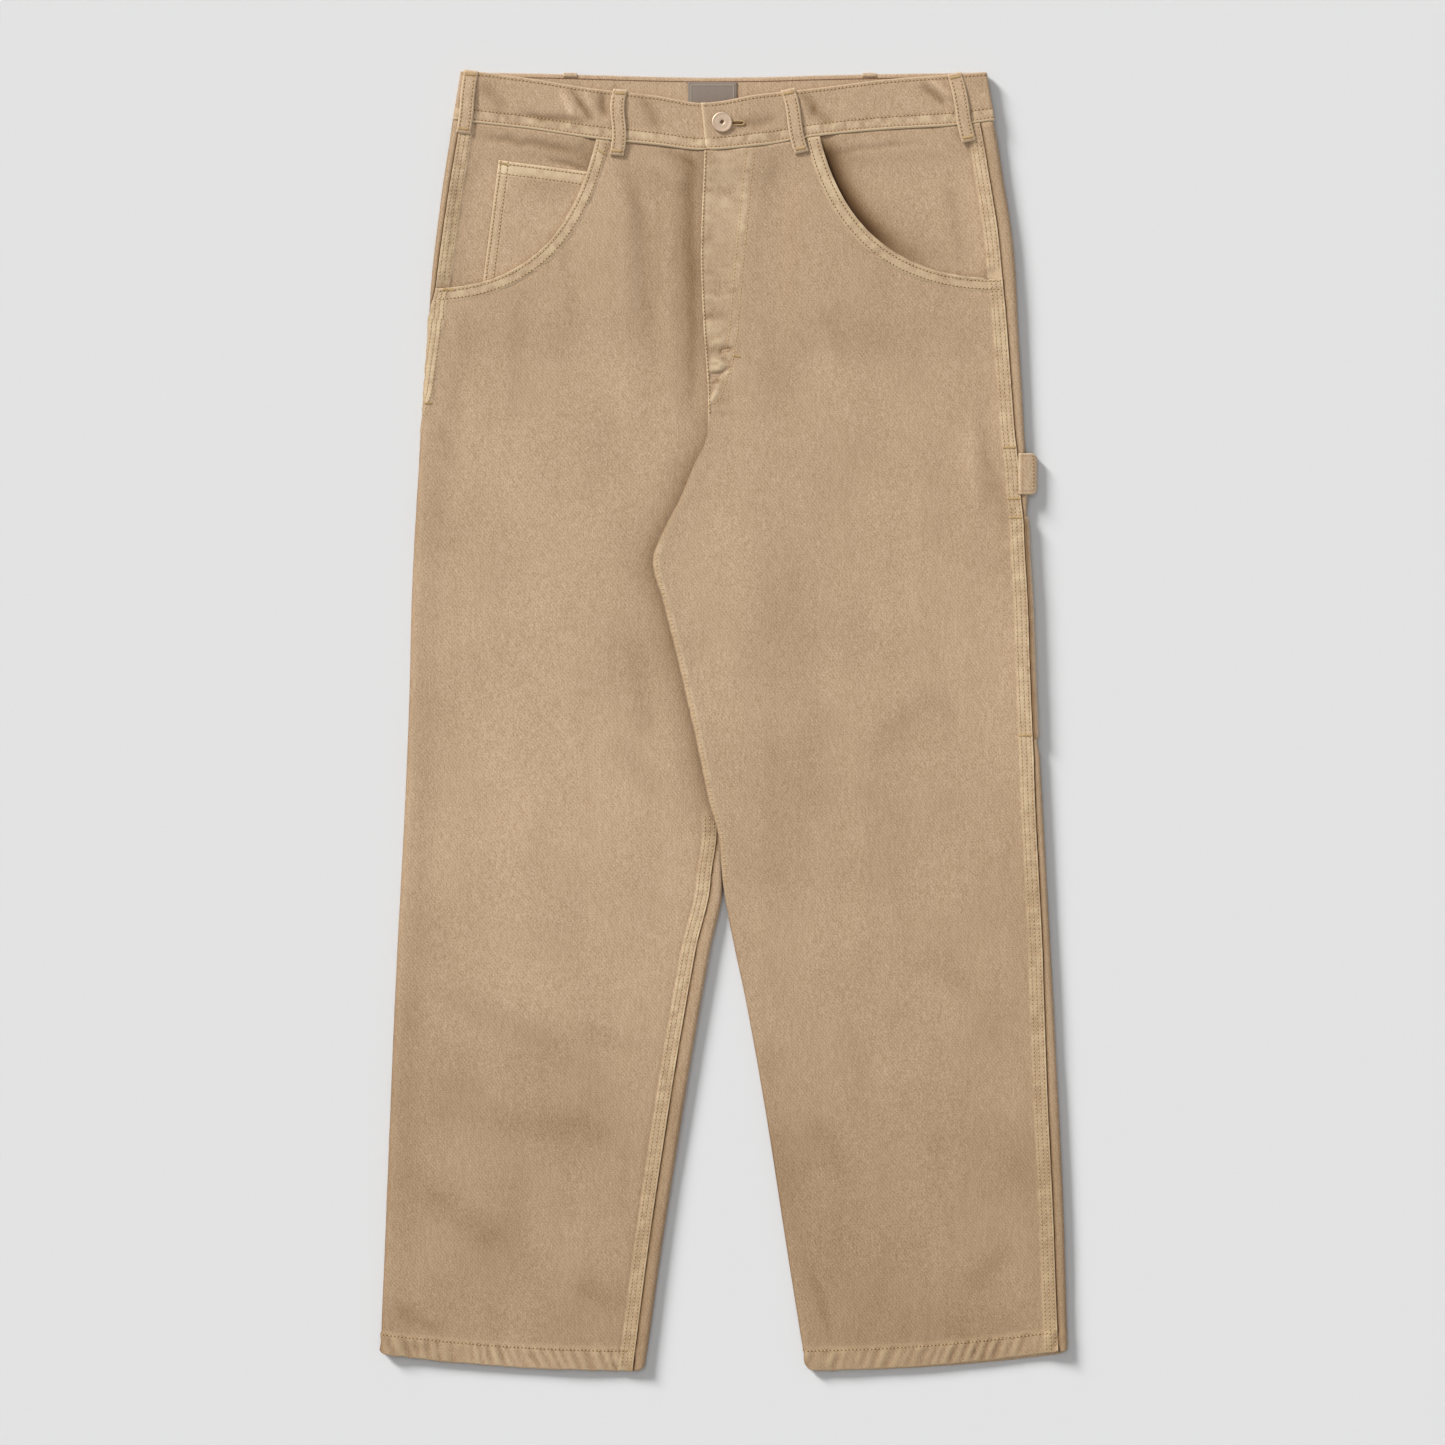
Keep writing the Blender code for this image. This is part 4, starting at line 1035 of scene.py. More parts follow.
def woven_tape(name, colour_hex, dark_hex):
    """A damask label: flat close weave in fine ribs, with a faint silky sheen."""
    material, tree, shader, place = new_material(name)
    raised = ribs(tree, place, 0.9 * MM, Distortion=0.3)
    flecks = specks(tree, place, 0.8 * MM, Detail=2.0)
    weave = combine(tree, "MULTIPLY", raised, flecks)
    colour = mixed(tree, weave, dark_hex, colour_hex)
    use_relief(tree, shader, raised, 0.4, 0.1 * MM)
    tree.links.new(colour, shader.inputs["Base Color"])
    shader.inputs["Roughness"].default_value = 0.6
    shader.inputs["Sheen Weight"].default_value = 0.2
    return material


def needle_shadow(name, deep_hex, fluff_hex):
    """The dark bottom of a needle's hole, where light hardly reaches: matt and dull."""
    material, tree, shader, place = new_material(name)
    fluff = specks(tree, place, 0.6 * MM)
    colour = mixed(tree, fluff, deep_hex, fluff_hex)
    tree.links.new(colour, shader.inputs["Base Color"])
    shader.inputs["Roughness"].default_value = 0.95
    return material


# The deep and the multiplied colours carry painted shade as well as the cloth's darker tone
TWILL_HEXES = {
    "dark_hex": "A58663",
    "light_hex": "D9BEA1",
    "ridge_hex": "E3CCA7",
    "dark_tone_and_shade_hex": "84643F",
    "wash_and_shade_hex": "DDD8D0",
}
cotton_twill = washed_twill("washed_cotton_twill", **TWILL_HEXES)
topstitch_thread = sewing_thread("topstitch_thread", "DCC092", "C3A06C")
bartack_thread = sewing_thread("bartack_thread", "CDB082", "A98755")
red_thread = sewing_thread("red_brown_thread", "A4694A", "7D4A34")
needle_hole = needle_shadow("needle_hole_shadow", "64492F", "6E5238")
copper_plate = plated_metal("copper_plated_brass", "E6D0BA", "D0B498")
label_weave = woven_tape("woven_label_tape", "A39385", "7E6F63")
label_border = woven_tape("woven_label_border", "B4A898", "94887A")


# Panels

surfaces = {}


def keep_surface(name, points):
    """Keeps a grid of points as a surface that stitches can be laid on."""
    rows, columns = points.shape[:2]
    surfaces[name] = BVHTree.FromPolygons(points.reshape(-1, 3).tolist(), quads(rows, columns).tolist())


# Between which heights the panels' cuts are measured, and how much of each is cloth: the pocket mouth
# takes a bite from the front, and the waist dips a little at the back
WAIST_Y = 470.0
BACK_TOP = 478.0


def cut_area(leg, rows, first, last):
    """The flat area between two seams of a leg, in square metres, and the widest row in metres."""
    y = np.linspace(rows[0], rows[1], 300)
    widths = np.abs(leg.seam(last, y) - leg.seam(first, y))
    return float(np.mean(widths) * abs(rows[1] - rows[0])) * MM * MM, float(widths.max()) * MM


def declare_panel(node, leg, rows, first, last):
    """Hides a leg's CAD panel, which this cloth replaces, and works out the area and widest row of its flat
    cut, which are not used further.
    """
    area, width = cut_area(leg, rows, first, last)
    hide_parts(node)


def tone(leg, x, y):
    """Where the cloth is darker: toward the hems, toward the top, over parts of the left leg and in soft
    patches; beside the fly it is painted shade in the valley there.
    """
    depth = (0.62 if leg is right_leg else 0.72) * ease((-110 - y) / 260) + 0.1 * ease((-380 - y) / 80)
    # Painted shade in the valley beside the fly's edge
    depth = depth + 0.6 * peak(x + 40, 22) * ease((y - 235) / 70) * ease((470 - y) / 30)
    depth = depth + 0.14 * ease((y - 200) / 160)
    if leg is left_leg:
        depth = depth + (0.15 + 0.18 * ease((30 - y) / 120)) * ease((y + 260) / 120) * ease((x - 8) / 40)
    patches = 0.12 * noise(x / 46, y / 70, 301) + 0.09 * noise(x / 21, y / 30, 302)
    return depth + (patches + 0.08 * noise(x / 9, y / 60, 303))


# A distance at which a seam or an edge no longer shows
FAR = 99.0


def work_right_front(fine, wear, x, y, from_seam, from_inner, seed):
    """Adds the right front's felled inseam and rolled outseam, and gives the painted shadow beside the left
    leg's edge.
    """
    felled = ease((-62 - y) / 34)
    fine += felled * band_relief(from_inner, y, FELLED_ROWS, seed + 50)
    wear += felled * band_wear(from_inner, y, FELLED_ROWS, seed + 50)
    wear += 0.35 * ease((10 - from_seam) / 2) * ease((348 - y) / 12) * ease((y - 240) / 20)
    # Painted shadow on the right leg beside the left leg's edge, which lies over it
    beside = fading(np.maximum(0, left_leg.inner(y) - x), 15)
    return beside * ease((y + 190) / 120) * ease((470 - y) / 20) * (1.15 - 0.8 * ease((y - 200) / 60))


def work_left_front(fine, wear, x, y, from_inner, seed):
    """Adds the left front's fly and rolled inseam, and gives the painted shade along its folded edge."""
    fly, ridge = ease((y - 236) / 12), ease((150 - y) / 22)
    fade = ease((y + 190) / 240)

    # The fly's folded edge, and whiskers that run in from it
    whisker = noise(y / 5.2, x / 34, seed + 60) + 0.5 * noise(y / 2.8, x / 20, seed + 61)
    fine += fly * (edge_round(from_inner) - 0.3 * peak(from_inner - 3.0, 0.8))
    fine += fly * 0.36 * whisker * fading(from_inner, 19)
    wear += fly * (0.5 * peak(from_inner, 1.3) + 0.6 * whisker * fading(from_inner, 13))

    # The inseam's felled seam, which rolls over the leg's edge
    marks = noise(y / 2.6, from_inner / 9, seed + 62) + 0.6 * noise(y / 6, from_inner / 14, seed + 63)
    on_ridge = (1 - ease((from_inner - 6.2) / 2.2)) * ridge * fade
    fine += on_ridge * (0.4 + 0.2 * marks)
    wear += on_ridge * (0.3 + 0.25 * marks)

    # The furrows of the J-shaped double row, and the puckers between them
    to_j, along_j = near_line(x, y, FLY_J)
    inside = np.where(x > fly_j_x(y), FAR, to_j)
    for distance in (to_j, np.abs(inside - FLY_J_GAP)):
        fine -= 0.12 * peak(distance, 0.8)
    between = ease(inside / 2.5) * ease((8.4 - inside) / 2.5)
    ruck = noise(along_j / 3.4, inside / 8, seed + 65) + 0.7 * noise(along_j / 19, 0.0, seed + 68)
    fine += between * 0.24 * ruck
    wear += between * (0.06 + 0.34 * ruck)

    # The fly's own blotches, and the gathers and puckers at its foot, with painted shade in the puckers
    on_fly = fly * ease((fly_j_x(y) - x) / 3)
    blotches = 0.2 * noise(x / 12, y / 9, seed + 67)
    wear += on_fly * (0.12 + blotches + 0.2 * noise(x / 6, y / 4, seed + 69))
    gather = spot(x + 3, 12, y - 282, 17)
    folds = noise(y / 5.0 + x / 16, x / 17, seed + 64)
    folds = folds + 0.6 * noise(y / 3.0 - x / 20, x / 12, seed + 66)
    puckers = creased(x, y, FLY_PUCKERS)
    fine += 0.3 * gather * folds - 2.2 * puckers
    wear += 0.3 * gather * (0.3 + folds) - 1.5 * puckers

    # Painted shade along the folded edge, which faces the key light
    folded = ease((246 - y) / 20) * ease((y - 128) / 20) + 0.3 * (1 - ease((y + 60) / 120))
    return 0.6 * folded * fading(from_inner, 2.2)


def make_front(name, leg, mouth, seed):
    """A front panel, with its pocket mouth, felled seams and hem."""
    y, places, mouth_rows = front_grid(leg, mouth)
    points, normals = leg.at(y, places)
    x = points[..., 0]
    up = np.clip(normals[..., 2], 0, 1)
    from_outer, from_inner = np.abs(places - places[:, :1]), np.abs(places[:, -1:] - places)
    near_mouth, along_mouth = near_line(x, y, bezier(mouth, np.linspace(0, 1, 60)))
    on_seam = (np.arange(len(y)) >= mouth_rows - 1)[:, None]
    from_seam = np.where(on_seam, from_outer - rolled(leg, y), FAR)
    from_hem = y - y[-1:]

    broad = loose_waves(x, y, seed) * ease(from_outer / 34) * ease(from_inner / 34) - creased(x, y, CREASES)
    broad = np.clip(broad, -1.1, 1.2) * up
    fine = np.maximum(
        band_relief(near_mouth, along_mouth, EDGE_ROWS, seed + 20, width=EDGE_WIDTH),
        np.where(on_seam, band_relief(from_seam, y, FELLED_ROWS, seed + 30), -9),
    )
    wear = np.maximum(
        band_wear(near_mouth, along_mouth, EDGE_ROWS, seed + 20, width=EDGE_WIDTH),
        band_wear(from_seam, y, FELLED_ROWS, seed + 30),
    )
    fine += edge_round(np.where(on_seam, FAR, near_mouth))
    fine += edge_round(from_hem)
    rope = hem_rope(from_hem, places, seed + 40)
    # Rubbed ropes in the hem, and painted shade in the furrow of its row
    wear += in_hem(from_hem) * (0.2 + 0.42 * rope) - 0.2 * peak(from_hem - HEM_DEPTH + HEM_ROW, 0.8)
    wear += 0.3 * peak(from_hem - HEM_DEPTH - 1.6, 1.4) + 0.4 * peak(from_hem, 1.0)
    if leg is right_leg:
        shade = work_right_front(fine, wear, x, y, from_seam, from_inner, seed)
    else:
        shade = work_left_front(fine, wear, x, y, from_inner, seed)
    # Painted shade on the leg's rounded sides and on the sides that face the key light, painted shade in
    # the creases and painted highlight on their ridges, added to the cloth's tone
    shade = shade + tone(leg, x, y) + 0.6 * (1 - up) + 0.9 * np.clip(-normals[..., 0], 0, 1)
    shade = shade + 0.8 * np.clip(creased(x, y, CREASES), -0.5, 1.5)
    fine += hem_relief(from_hem, places, rope, seed + 40)
    facing_up = np.clip(1 + 2 * normals[..., 2], 0, 1)
    lift = hem_corner(leg, x, y) + 0.5 * rope * fading(from_hem, 3.5)
    points[..., 1] += lift
    outer = points + normals * ((fine + broad) * facing_up)[..., None]
    inner = points + normals * (broad - CLOTH)[..., None]
    keep_surface(name, outer)
    piece = shell(name, outer, inner, cotton_twill, wear=wear, shade=shade)
    declare_panel(name, leg, (WAIST_Y, HEM_MEAN), "front", "front_end")


def make_back(name, leg, seed):
    """A back panel, from the side seam round below to the inseam or the centre back."""
    rows = leg_rows(BACK_TOP, HEM_Y, 4.0)
    level_y, places = grid_of(leg, rows, BACK_COLUMNS, "back", "back_end")
    top = np.clip((rows - 464) / 14, 0, 1)[:, None]
    y = level_y
    for _ in range(2):
        x = leg.at(y, places)[0][0, :, 0]
        over = places[0] > leg.seam("total", BACK_TOP)
        edge = np.where(over, np.minimum(band_bottom(x), back_band_bottom(x)), back_band_bottom(x))
        y = level_y + (edge - SEAM_GAP - BACK_TOP)[None, :] * top
    points, normals = leg.at(y, places)
    x = points[..., 0]
    from_outer, from_inner = np.abs(places - places[:, :1]), np.abs(places[:, -1:] - places)
    from_hem = y - y[-1:]
    facing_up = np.clip(1 + 2 * normals[..., 2], 0, 1)
    fine = 0.12 * noise(y / 5, from_outer / 9, seed) * fading(from_outer, 6) + edge_round(from_hem)
    fine -= 0.2 * peak(from_outer, 1.0)
    fine += in_hem(from_hem) * (0.2 + 0.2 * hem_rope(from_hem, places, seed + 1))
    wear = 0.16 * peak(from_outer - 3.0, 2.2) + 0.1 * in_hem(from_hem)
    # Painted shadow lines along both edges, in the seams' gaps
    wear -= 1.1 * peak(np.minimum(from_outer, from_inner), 1.3)
    # Painted shade on the rounded sides and on the sides that face the key light, added to the cloth's tone
    shade = 0.2 + tone(leg, x, y) + 0.5 * (1 - np.clip(normals[..., 2], 0, 1))
    shade += 0.9 * np.clip(-normals[..., 0], 0, 1)
    points[..., 1] += hem_corner(leg, x, y)
    outer = points + normals * (fine * facing_up)[..., None]
    inner = points - normals * CLOTH
    keep_surface(name, outer)
    piece = shell(name, outer, inner, cotton_twill, wear=wear, shade=shade)
    declare_panel(name, leg, (BACK_TOP, HEM_MEAN), "back", "back_end")


def facing_sink(mouth_height, x, y, from_seam):
    """How far a pocket facing lies below the front panel's level."""
    edge = mouth_height(x)
    sink = np.maximum(ease(from_seam / 22), ease((edge + 16 - y) / 14) * ease((from_seam + 2) / 11))
    visible = ease((y - edge - 16) / 36)
    at_waist = ease((y - band_bottom(x) + 30) / 28) * visible
    deepest = FACING_SINK - 1.5 * ease((y - 434) / 28)
    return deepest * sink * (1 - at_waist)


def facing_top(leg, mouth_height, x, y):
    """The height of a pocket facing over (x, y)."""
    place = leg.place_of(x, y)
    height = leg.at(y, place)[0][..., 2]
    return height - facing_sink(mouth_height, x, y, np.abs(x - leg.outer(y)) - leg.outseam(y))


def make_pocket_facing(name, leg, mouth, mouth_height, reach, seed, gape):
    """A hip piece from the side seam to a little way under the front panel.

    The last argument is how strong the painted shadow is on the pocket's inside just past the mouth's edge."""
    t = np.linspace(0, 1, 72)[:, None]
    plan = column_plan(SEAM_SIDE, (0.0,), 44)
    columns = len(SEAM_SIDE) + 1 + 44
    y = np.repeat(WAIST_Y + (FACING_FOOT - WAIST_Y) * t, columns, axis=1)
    for _ in range(4):
        hidden = ease((mouth[3][1] - 3 - y) / 6)
        start = leg.seam("front", y) + 8 * hidden
        end = leg.place_of(reach(y), y)
        places = spread(plan, start, end)[:, np.arange(columns), np.arange(columns)]
        x = leg.at(y, places)[0][..., 0]
        waist = band_bottom(x) - SEAM_GAP
        y = waist + (FACING_FOOT - waist) * t
    points, normals = leg.at(y, places)
    from_seam = places - start + 8 * hidden
    points[..., 2] -= facing_sink(mouth_height, points[..., 0], y, from_seam)
    shown = ease((y - mouth_height(points[..., 0]) - 1) / 5)
    fine = band_relief(from_seam, y, FELLED_ROWS, seed) * ease((y - 340) / 6)
    folds = creased(x, y, FACING_CREASES)
    fine += shown * (0.3 * noise(x / 40, y / 30, seed + 5) - 1.6 * folds)
    wear = band_wear(from_seam, y, FELLED_ROWS, seed)
    past_mouth = near_line(x, y, bezier(mouth, np.linspace(0, 1, 40)))[0]
    beside = ease((y - mouth[3][1] - 4) / 40) * ease((mouth[0][1] + 6 - y) / 20)
    # Painted shadow on the pocket's inside, cast by the mouth's raised edge
    wear -= 0.5 * gape * peak(past_mouth, 9) * beside
    shade = 0.02 + gape * (0.7 * peak(past_mouth, 12) + 0.3 * fading(past_mouth, 22)) * beside
    # Painted shade along the mouth's edge, in the creases, and in a patch and a band just under the
    # waistband, with some random tone
    shade += 0.4 * fading(past_mouth, 4) + 1.3 * folds
    shade += 0.5 * spot(x + 124, 32, y - 453, 9)
    shade += 0.45 * fading(np.maximum(0, band_bottom(x) - y), 7) + 0.1 * noise(x / 14, y / 14, seed + 6)
    outer = points + normals * fine[..., None]
    inner = points - normals * CLOTH
    keep_surface(name, outer)
    piece = shell(name, outer, inner, cotton_twill, step=3, wear=wear, shade=shade)
    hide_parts(name)


def make_coin_pocket():
    """The small patch inside the right hip pocket, with a hemmed top and a double row down its side."""
    rows, columns = 88, 84
    v, u = np.linspace(0, 1, rows)[:, None], np.linspace(0, 1, columns)[None, :]
    outer_top, inner_top, inner_foot, outer_foot = (np.array(corner) for corner in COIN_CORNERS)
    x, y = (
        (outer_top[k] * (1 - u) + inner_top[k] * u) * (1 - v)
        + (outer_foot[k] * (1 - u) + inner_foot[k] * u) * v
        for k in range(2)
    )
    across, down = np.linalg.norm(inner_top - outer_top), np.linalg.norm(outer_foot - outer_top)
    from_left, from_top = u * across + 0 * v, v * down + 0 * u
    shown = ease((y - mouth_right_y(x) - 1) / 5)
    height = facing_top(right_leg, mouth_right_y, x, y) + 0.6
    in_top, in_side = 1 - ease((from_top - 11.6) / 1.4), 1 - ease((from_left - 9.0) / 1.6)
    fine = 0.35 * in_top + edge_round(from_left, 1.0) + edge_round(from_top, 1.0)
    wear = 0.5 * in_top * (1 + 0.6 * noise(from_left / 5, from_top / 5, 91))
    wear = wear + 0.26 * in_side * (1 + 0.6 * noise(from_left / 5, from_top / 5, 90))
    # Furrows at the rows, darkened as painted shade, and paler rubbed edges
    for distance, rows_at in ((from_top, COIN_TOP_ROWS), (from_left, COIN_SIDE_ROWS)):
        for row in rows_at:
            fine = fine - 0.26 * peak(distance - row, 0.7)
            wear = wear - 0.35 * peak(distance - row, 0.8)
        wear = wear + 0.2 * peak(distance, 0.9)
    fine = fine + 0.12 * noise(from_left / 5, from_top / 9, 92)
    fine = fine + 0.3 * noise(x / 34, y / 30, 93)
    shade = 0.6 * spot(x + 141, 24, y - 427, 12) - 0.12 + 0.14 * noise(x / 22, y / 18, 94)
    outer = np.stack((x, y, height + 1.0 + fine * shown), axis=-1)
    inner = np.stack((x, y, height), axis=-1)
    keep_surface("coin_pocket", outer)
    piece = shell("coin_pocket", outer, inner, cotton_twill, step=3, wear=wear, shade=shade)
    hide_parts("coin_pocket")


BAND_FROM_FOOT = np.array(
    (0, 0.3, 0.7, 1.2, 1.8, 2.4, 3.0, 3.8, 4.8, 6.0, 7.2, 8.2, 9.0, 9.6, 10.2, 11.0, 12.2, 14, 16.5, 19,
     22, 25, 28, 30.6, 32.6, 34.2, 35.3, 36.0, 36.6, 37.3, 37.9, 38.35, 38.8)
) / BAND_HIGH


def band_path():
    """The waistband's path seen from its lower edge: x, z, the normal's x and z, and the back's share."""
    low, high = BAND_UNDER, BAND_TOP
    half = (high - low) / 2
    left_end, right_end = BAND["x"][0], BAND["x"][-1]
    step = 1.5
    path = []
    for x in np.arange(BAND_LAP_END, left_end + BAND_ROUND, -step):
        path.append((x, high, 0, 1, 0.0))
    angles = np.radians(np.linspace(0, 180, 15))
    for a in angles:
        side = left_end + BAND_ROUND * (1 - math.sin(a))
        path.append((side, low + half * (1 + math.cos(a)), -math.sin(a), math.cos(a), a / math.pi))
    for x in np.arange(left_end + BAND_ROUND + step, right_end - BAND_ROUND - 0.5, step):
        path.append((x, low, 0, -1, 1.0))
    for a in angles[::-1]:
        side = right_end - BAND_ROUND * (1 - math.sin(a))
        path.append((side, low + half * (1 + math.cos(a)), math.sin(a), math.cos(a), a / math.pi))
    lap_end = BAND_OVERLAP_END
    ends = (lap_end + 3.4, lap_end + 2.4, lap_end + 1.6, lap_end + 1.0, lap_end + 0.5, lap_end)
    for x in list(np.arange(right_end - BAND_ROUND - step, lap_end + 4, -step)) + list(ends):
        rise = BAND_LAP_RISE * (1 - ease((x - BAND_LAP_FLAT) / BAND_LAP_RUN))
        path.append((x, high + rise, 0, 1, 0.0))
    return np.array(path)


def band_place(x, back, share):
    """x and y of the waistband at a share of its height, leaning in toward the waist at both sides."""
    foot = band_bottom(x) * (1 - back) + back_band_bottom(x) * back
    head = band_top(x) * (1 - back) + back_band_top(x) * back
    lean = 6.2 * ease((-165 - x) / 50) - 6.5 * ease((x - 165) / 50)
    return x + lean * share, foot + (head - foot) * share


def make_waistband():
    """The waistband: one strip round the waist, lapped over itself at the button."""
    path = band_path()
    x0, z, across, up, back = (path[None, :, k] for k in range(5))
    run = np.concatenate(([0.0], np.cumsum(np.hypot(np.diff(path[:, 0]), np.diff(path[:, 1])))))[None, :]
    share = BAND_FROM_FOOT[:, None]
    to_end = run[:, -1:] - run
    corner = 5.0
    cut = np.clip(corner - to_end, 0, corner)
    rounded = (corner - np.sqrt(np.maximum(corner**2 - cut**2, 0))) / BAND_HIGH
    share = share * (1 - rounded) + rounded
    x, y = band_place(x0, back, share)
    x = x + (1.7 - 4.0 * share) * fading(to_end, 12)
    normals = np.stack(np.broadcast_arrays(across, 0 * z, up), axis=-1) + np.zeros(x.shape + (1,))
    points = np.stack((x, y, z + np.zeros_like(x)), axis=-1)
    from_foot = share * BAND_HIGH
    from_head = (1 - share) * BAND_HIGH
    shown = np.clip(1.2 - back * 1.4, 0, 1)
    end_edge = np.minimum(to_end + 0 * x, 9)
    fine = edge_round(from_foot, 1.8) + edge_round(from_head, 1.8) + edge_round(end_edge, 1.8)
    ruck = noise(run / 4.4, from_foot / 9, 71) + 0.6 * noise(run / 2.4, from_foot / 5, 72)
    low_band = bump(from_foot - 6.0, 6.4)
    fine += 0.42 * ruck * low_band + 0.4 * peak(from_foot - 1.2, 0.9)
    fine += 0.12 * noise(run / 6, from_head / 8, 73) * bump(from_head, 9)
    fine += 0.5 * noise(run / 46, share * 1.4, 74) + 0.3 * noise(run / 15, share * 3, 75)
    wear = low_band * (0.3 + 0.55 * ruck) + 1.2 * peak(from_foot - 0.4, 1.1)
    wear += 0.35 * peak(from_head, 1.2) + 0.9 * peak(to_end, 1.6) + 0 * x
    # Furrows at the rows, darkened as painted shade
    for distance, row in (*((from_foot, row) for row in BAND_FOOT_ROWS), (from_head, BAND_HEAD_ROW)):
        fine -= 0.22 * peak(distance - row, 0.75)
        wear -= 0.2 * peak(distance - row, 0.8)
    fold = np.clip(-2.2 * creased(x, y, BAND_CREASES), -1.5, 1.6)
    outer = points + normals * ((fine + fold) * shown)[..., None]
    inner = points - normals * BAND_CLOTH
    inside = edge_round(from_head, 1.4) + edge_round(from_foot, 1.4) + 0.25 * noise(run / 40, share * 2, 76)
    inside += 0.5 * (-creased(x, y, INSIDE_CREASES))
    inner[..., 2] += inside * (back > 0.99)
    # Painted shade in the creases and painted highlight on their ridges, painted shade on the rounded ends
    # and sides, a little darker at the back, and soft random tone
    shade = 0.1 + 1.9 * np.clip(creased(x, y, BAND_CREASES), -0.4, 0.9) * shown
    shade += 0.12 * noise(x / 30, y / 16, 77) + 0.2 * (back > 0.99) + 0.7 * (1 - np.abs(up))
    keep_surface("waistband", outer)
    keep_surface("waistband_inside", inner)
    piece = shell("waistband", outer, inner, cotton_twill, step=2, wear=wear, shade=shade)
    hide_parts("waistband")


def strap(name, path, across, width, cloth, seed, step=1.1, pinch=0.0):
    """A sewn strap: its edges are rolled, and two furrows run beside them.

    pinch is how much each edge draws in where the strap turns back, farthest out."""
    path = np.array(path, float)
    lengths = np.concatenate(([0.0], np.cumsum(np.linalg.norm(np.diff(path, axis=0), axis=1))))
    count = max(8, int(lengths[-1] / step))
    at = np.linspace(0, lengths[-1], count)
    path = np.stack([curve(lengths, path[:, k])(at) for k in range(3)], axis=1)
    across = np.array(across, float)
    along = np.gradient(path, axis=0)
    up = np.cross(across, along)
    up /= np.linalg.norm(up, axis=1)[:, None]
    half = width / 2
    columns = np.array((0, 0.3, 0.7, 1.2, 1.8, 2.3, 2.9, 3.8))
    columns = np.concatenate((columns - half, (0.0,), (half - columns)[::-1]))
    wobble = 0.22 * noise(at / 9, 0.0, seed)
    turned = np.abs(at - at[np.argmax(path[:, 0])])
    drawn = 1 - pinch / half * np.clip(1 - turned / 4.5, 0, 1) ** 2
    under = path[:, None, :] + across * (columns[None, :] * drawn[:, None] + wobble[:, None])[..., None]
    side = half - np.abs(columns)[None, :] + 0 * at[:, None]
    ends = np.minimum(at, at[-1] - at)[:, None] + 0 * side
    fine = edge_round(side, cloth) + edge_round(ends, cloth)
    fine += 0.1 * noise(at[:, None] / 4, columns / 5, seed + 1)
    fine -= 0.2 * peak(side - STRAP_ROW, 0.6)
    # Paler rolled edges; the furrows beside them and just inside the bartacks are darkened as painted shade
    wear = 0.45 * peak(side, 1.1) - 0.25 * peak(side - STRAP_ROW, 0.6)
    wear += 0.35 * peak(ends, 1.5) + 0.1 - 0.45 * peak(ends - 3.4, 1.2)
    outer = under + up[:, None, :] * (cloth + fine)[..., None]
    keep_surface(name, outer)
    wear = wear + 0.1 * noise(at[:, None] / 7, columns / 8, seed + 2)
    piece = shell(name, outer, under, cotton_twill, step=2, wear=wear, shade=-0.1 + 0 * wear)
    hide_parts(name)


def make_front_loop(name, top_x, top_y, foot_x, foot_y, foot_z, sway):
    """A belt loop over the front of the waistband."""
    top, foot = np.array((top_x, top_y)), np.array((foot_x, foot_y))
    reach = np.linalg.norm(top - foot)
    direction = (top - foot) / reach
    across = np.array((direction[1], -direction[0]))
    path = []
    over = BAND_TOP + SEAM_GAP
    for distance in (0, 3, 7, 11, 16, 22, 30, 38, 44, reach - 3, reach):
        share = distance / reach
        ground = foot_z + (over - foot_z) * float(ease(distance / 14))
        bow = 1.3 * math.sin(math.pi * min(1.0, max(0.0, (share - 0.08) / 0.86)))
        bend = sway * math.sin(2 * math.pi * share)
        path.append((*(foot + direction * distance + across * bend), ground + bow))
    strap(name, path, (*across, 0.0), LOOP_WIDTH, LOOP_CLOTH, int(abs(top_x)))
    side = (LOOP_WIDTH / 2 - STRAP_ROW) * across
    for sign in (-1, 1):
        line = [np.array(point[:2]) + sign * side for point in path[1:-1]]
        sew(name, name, flat_run(line))
    for end in (foot + direction * 3.4, top - direction * 3.4):
        bartack(name, name, end - across * 4.2, end + across * 4.2)


def make_back_loop(name, x):
    """A loop under the back waistband, turned over its upper edge."""
    edge = float(back_band_top(x))
    low = BAND_UNDER - SEAM_GAP
    high = BAND_UNDER + BAND_CLOTH + SEAM_GAP
    half = (high - low) / 2
    path = [(x, edge - 2.2, high), (x, edge - 0.9, high)]
    for angle in (30, 60, 90, 120, 150):
        a = math.radians(angle)
        path.append((x, edge - 0.6 + 0.7 * math.sin(a), low + half * (1 + math.cos(a))))
    path += [(x, edge - 0.5, low), (x, edge - 12, low), (x, edge - 28, low), (x, 466.0, low)]
    strap(name, path, (1.0, 0.0, 0.0), LOOP_WIDTH, CLOTH, int(abs(x)), step=0.8)


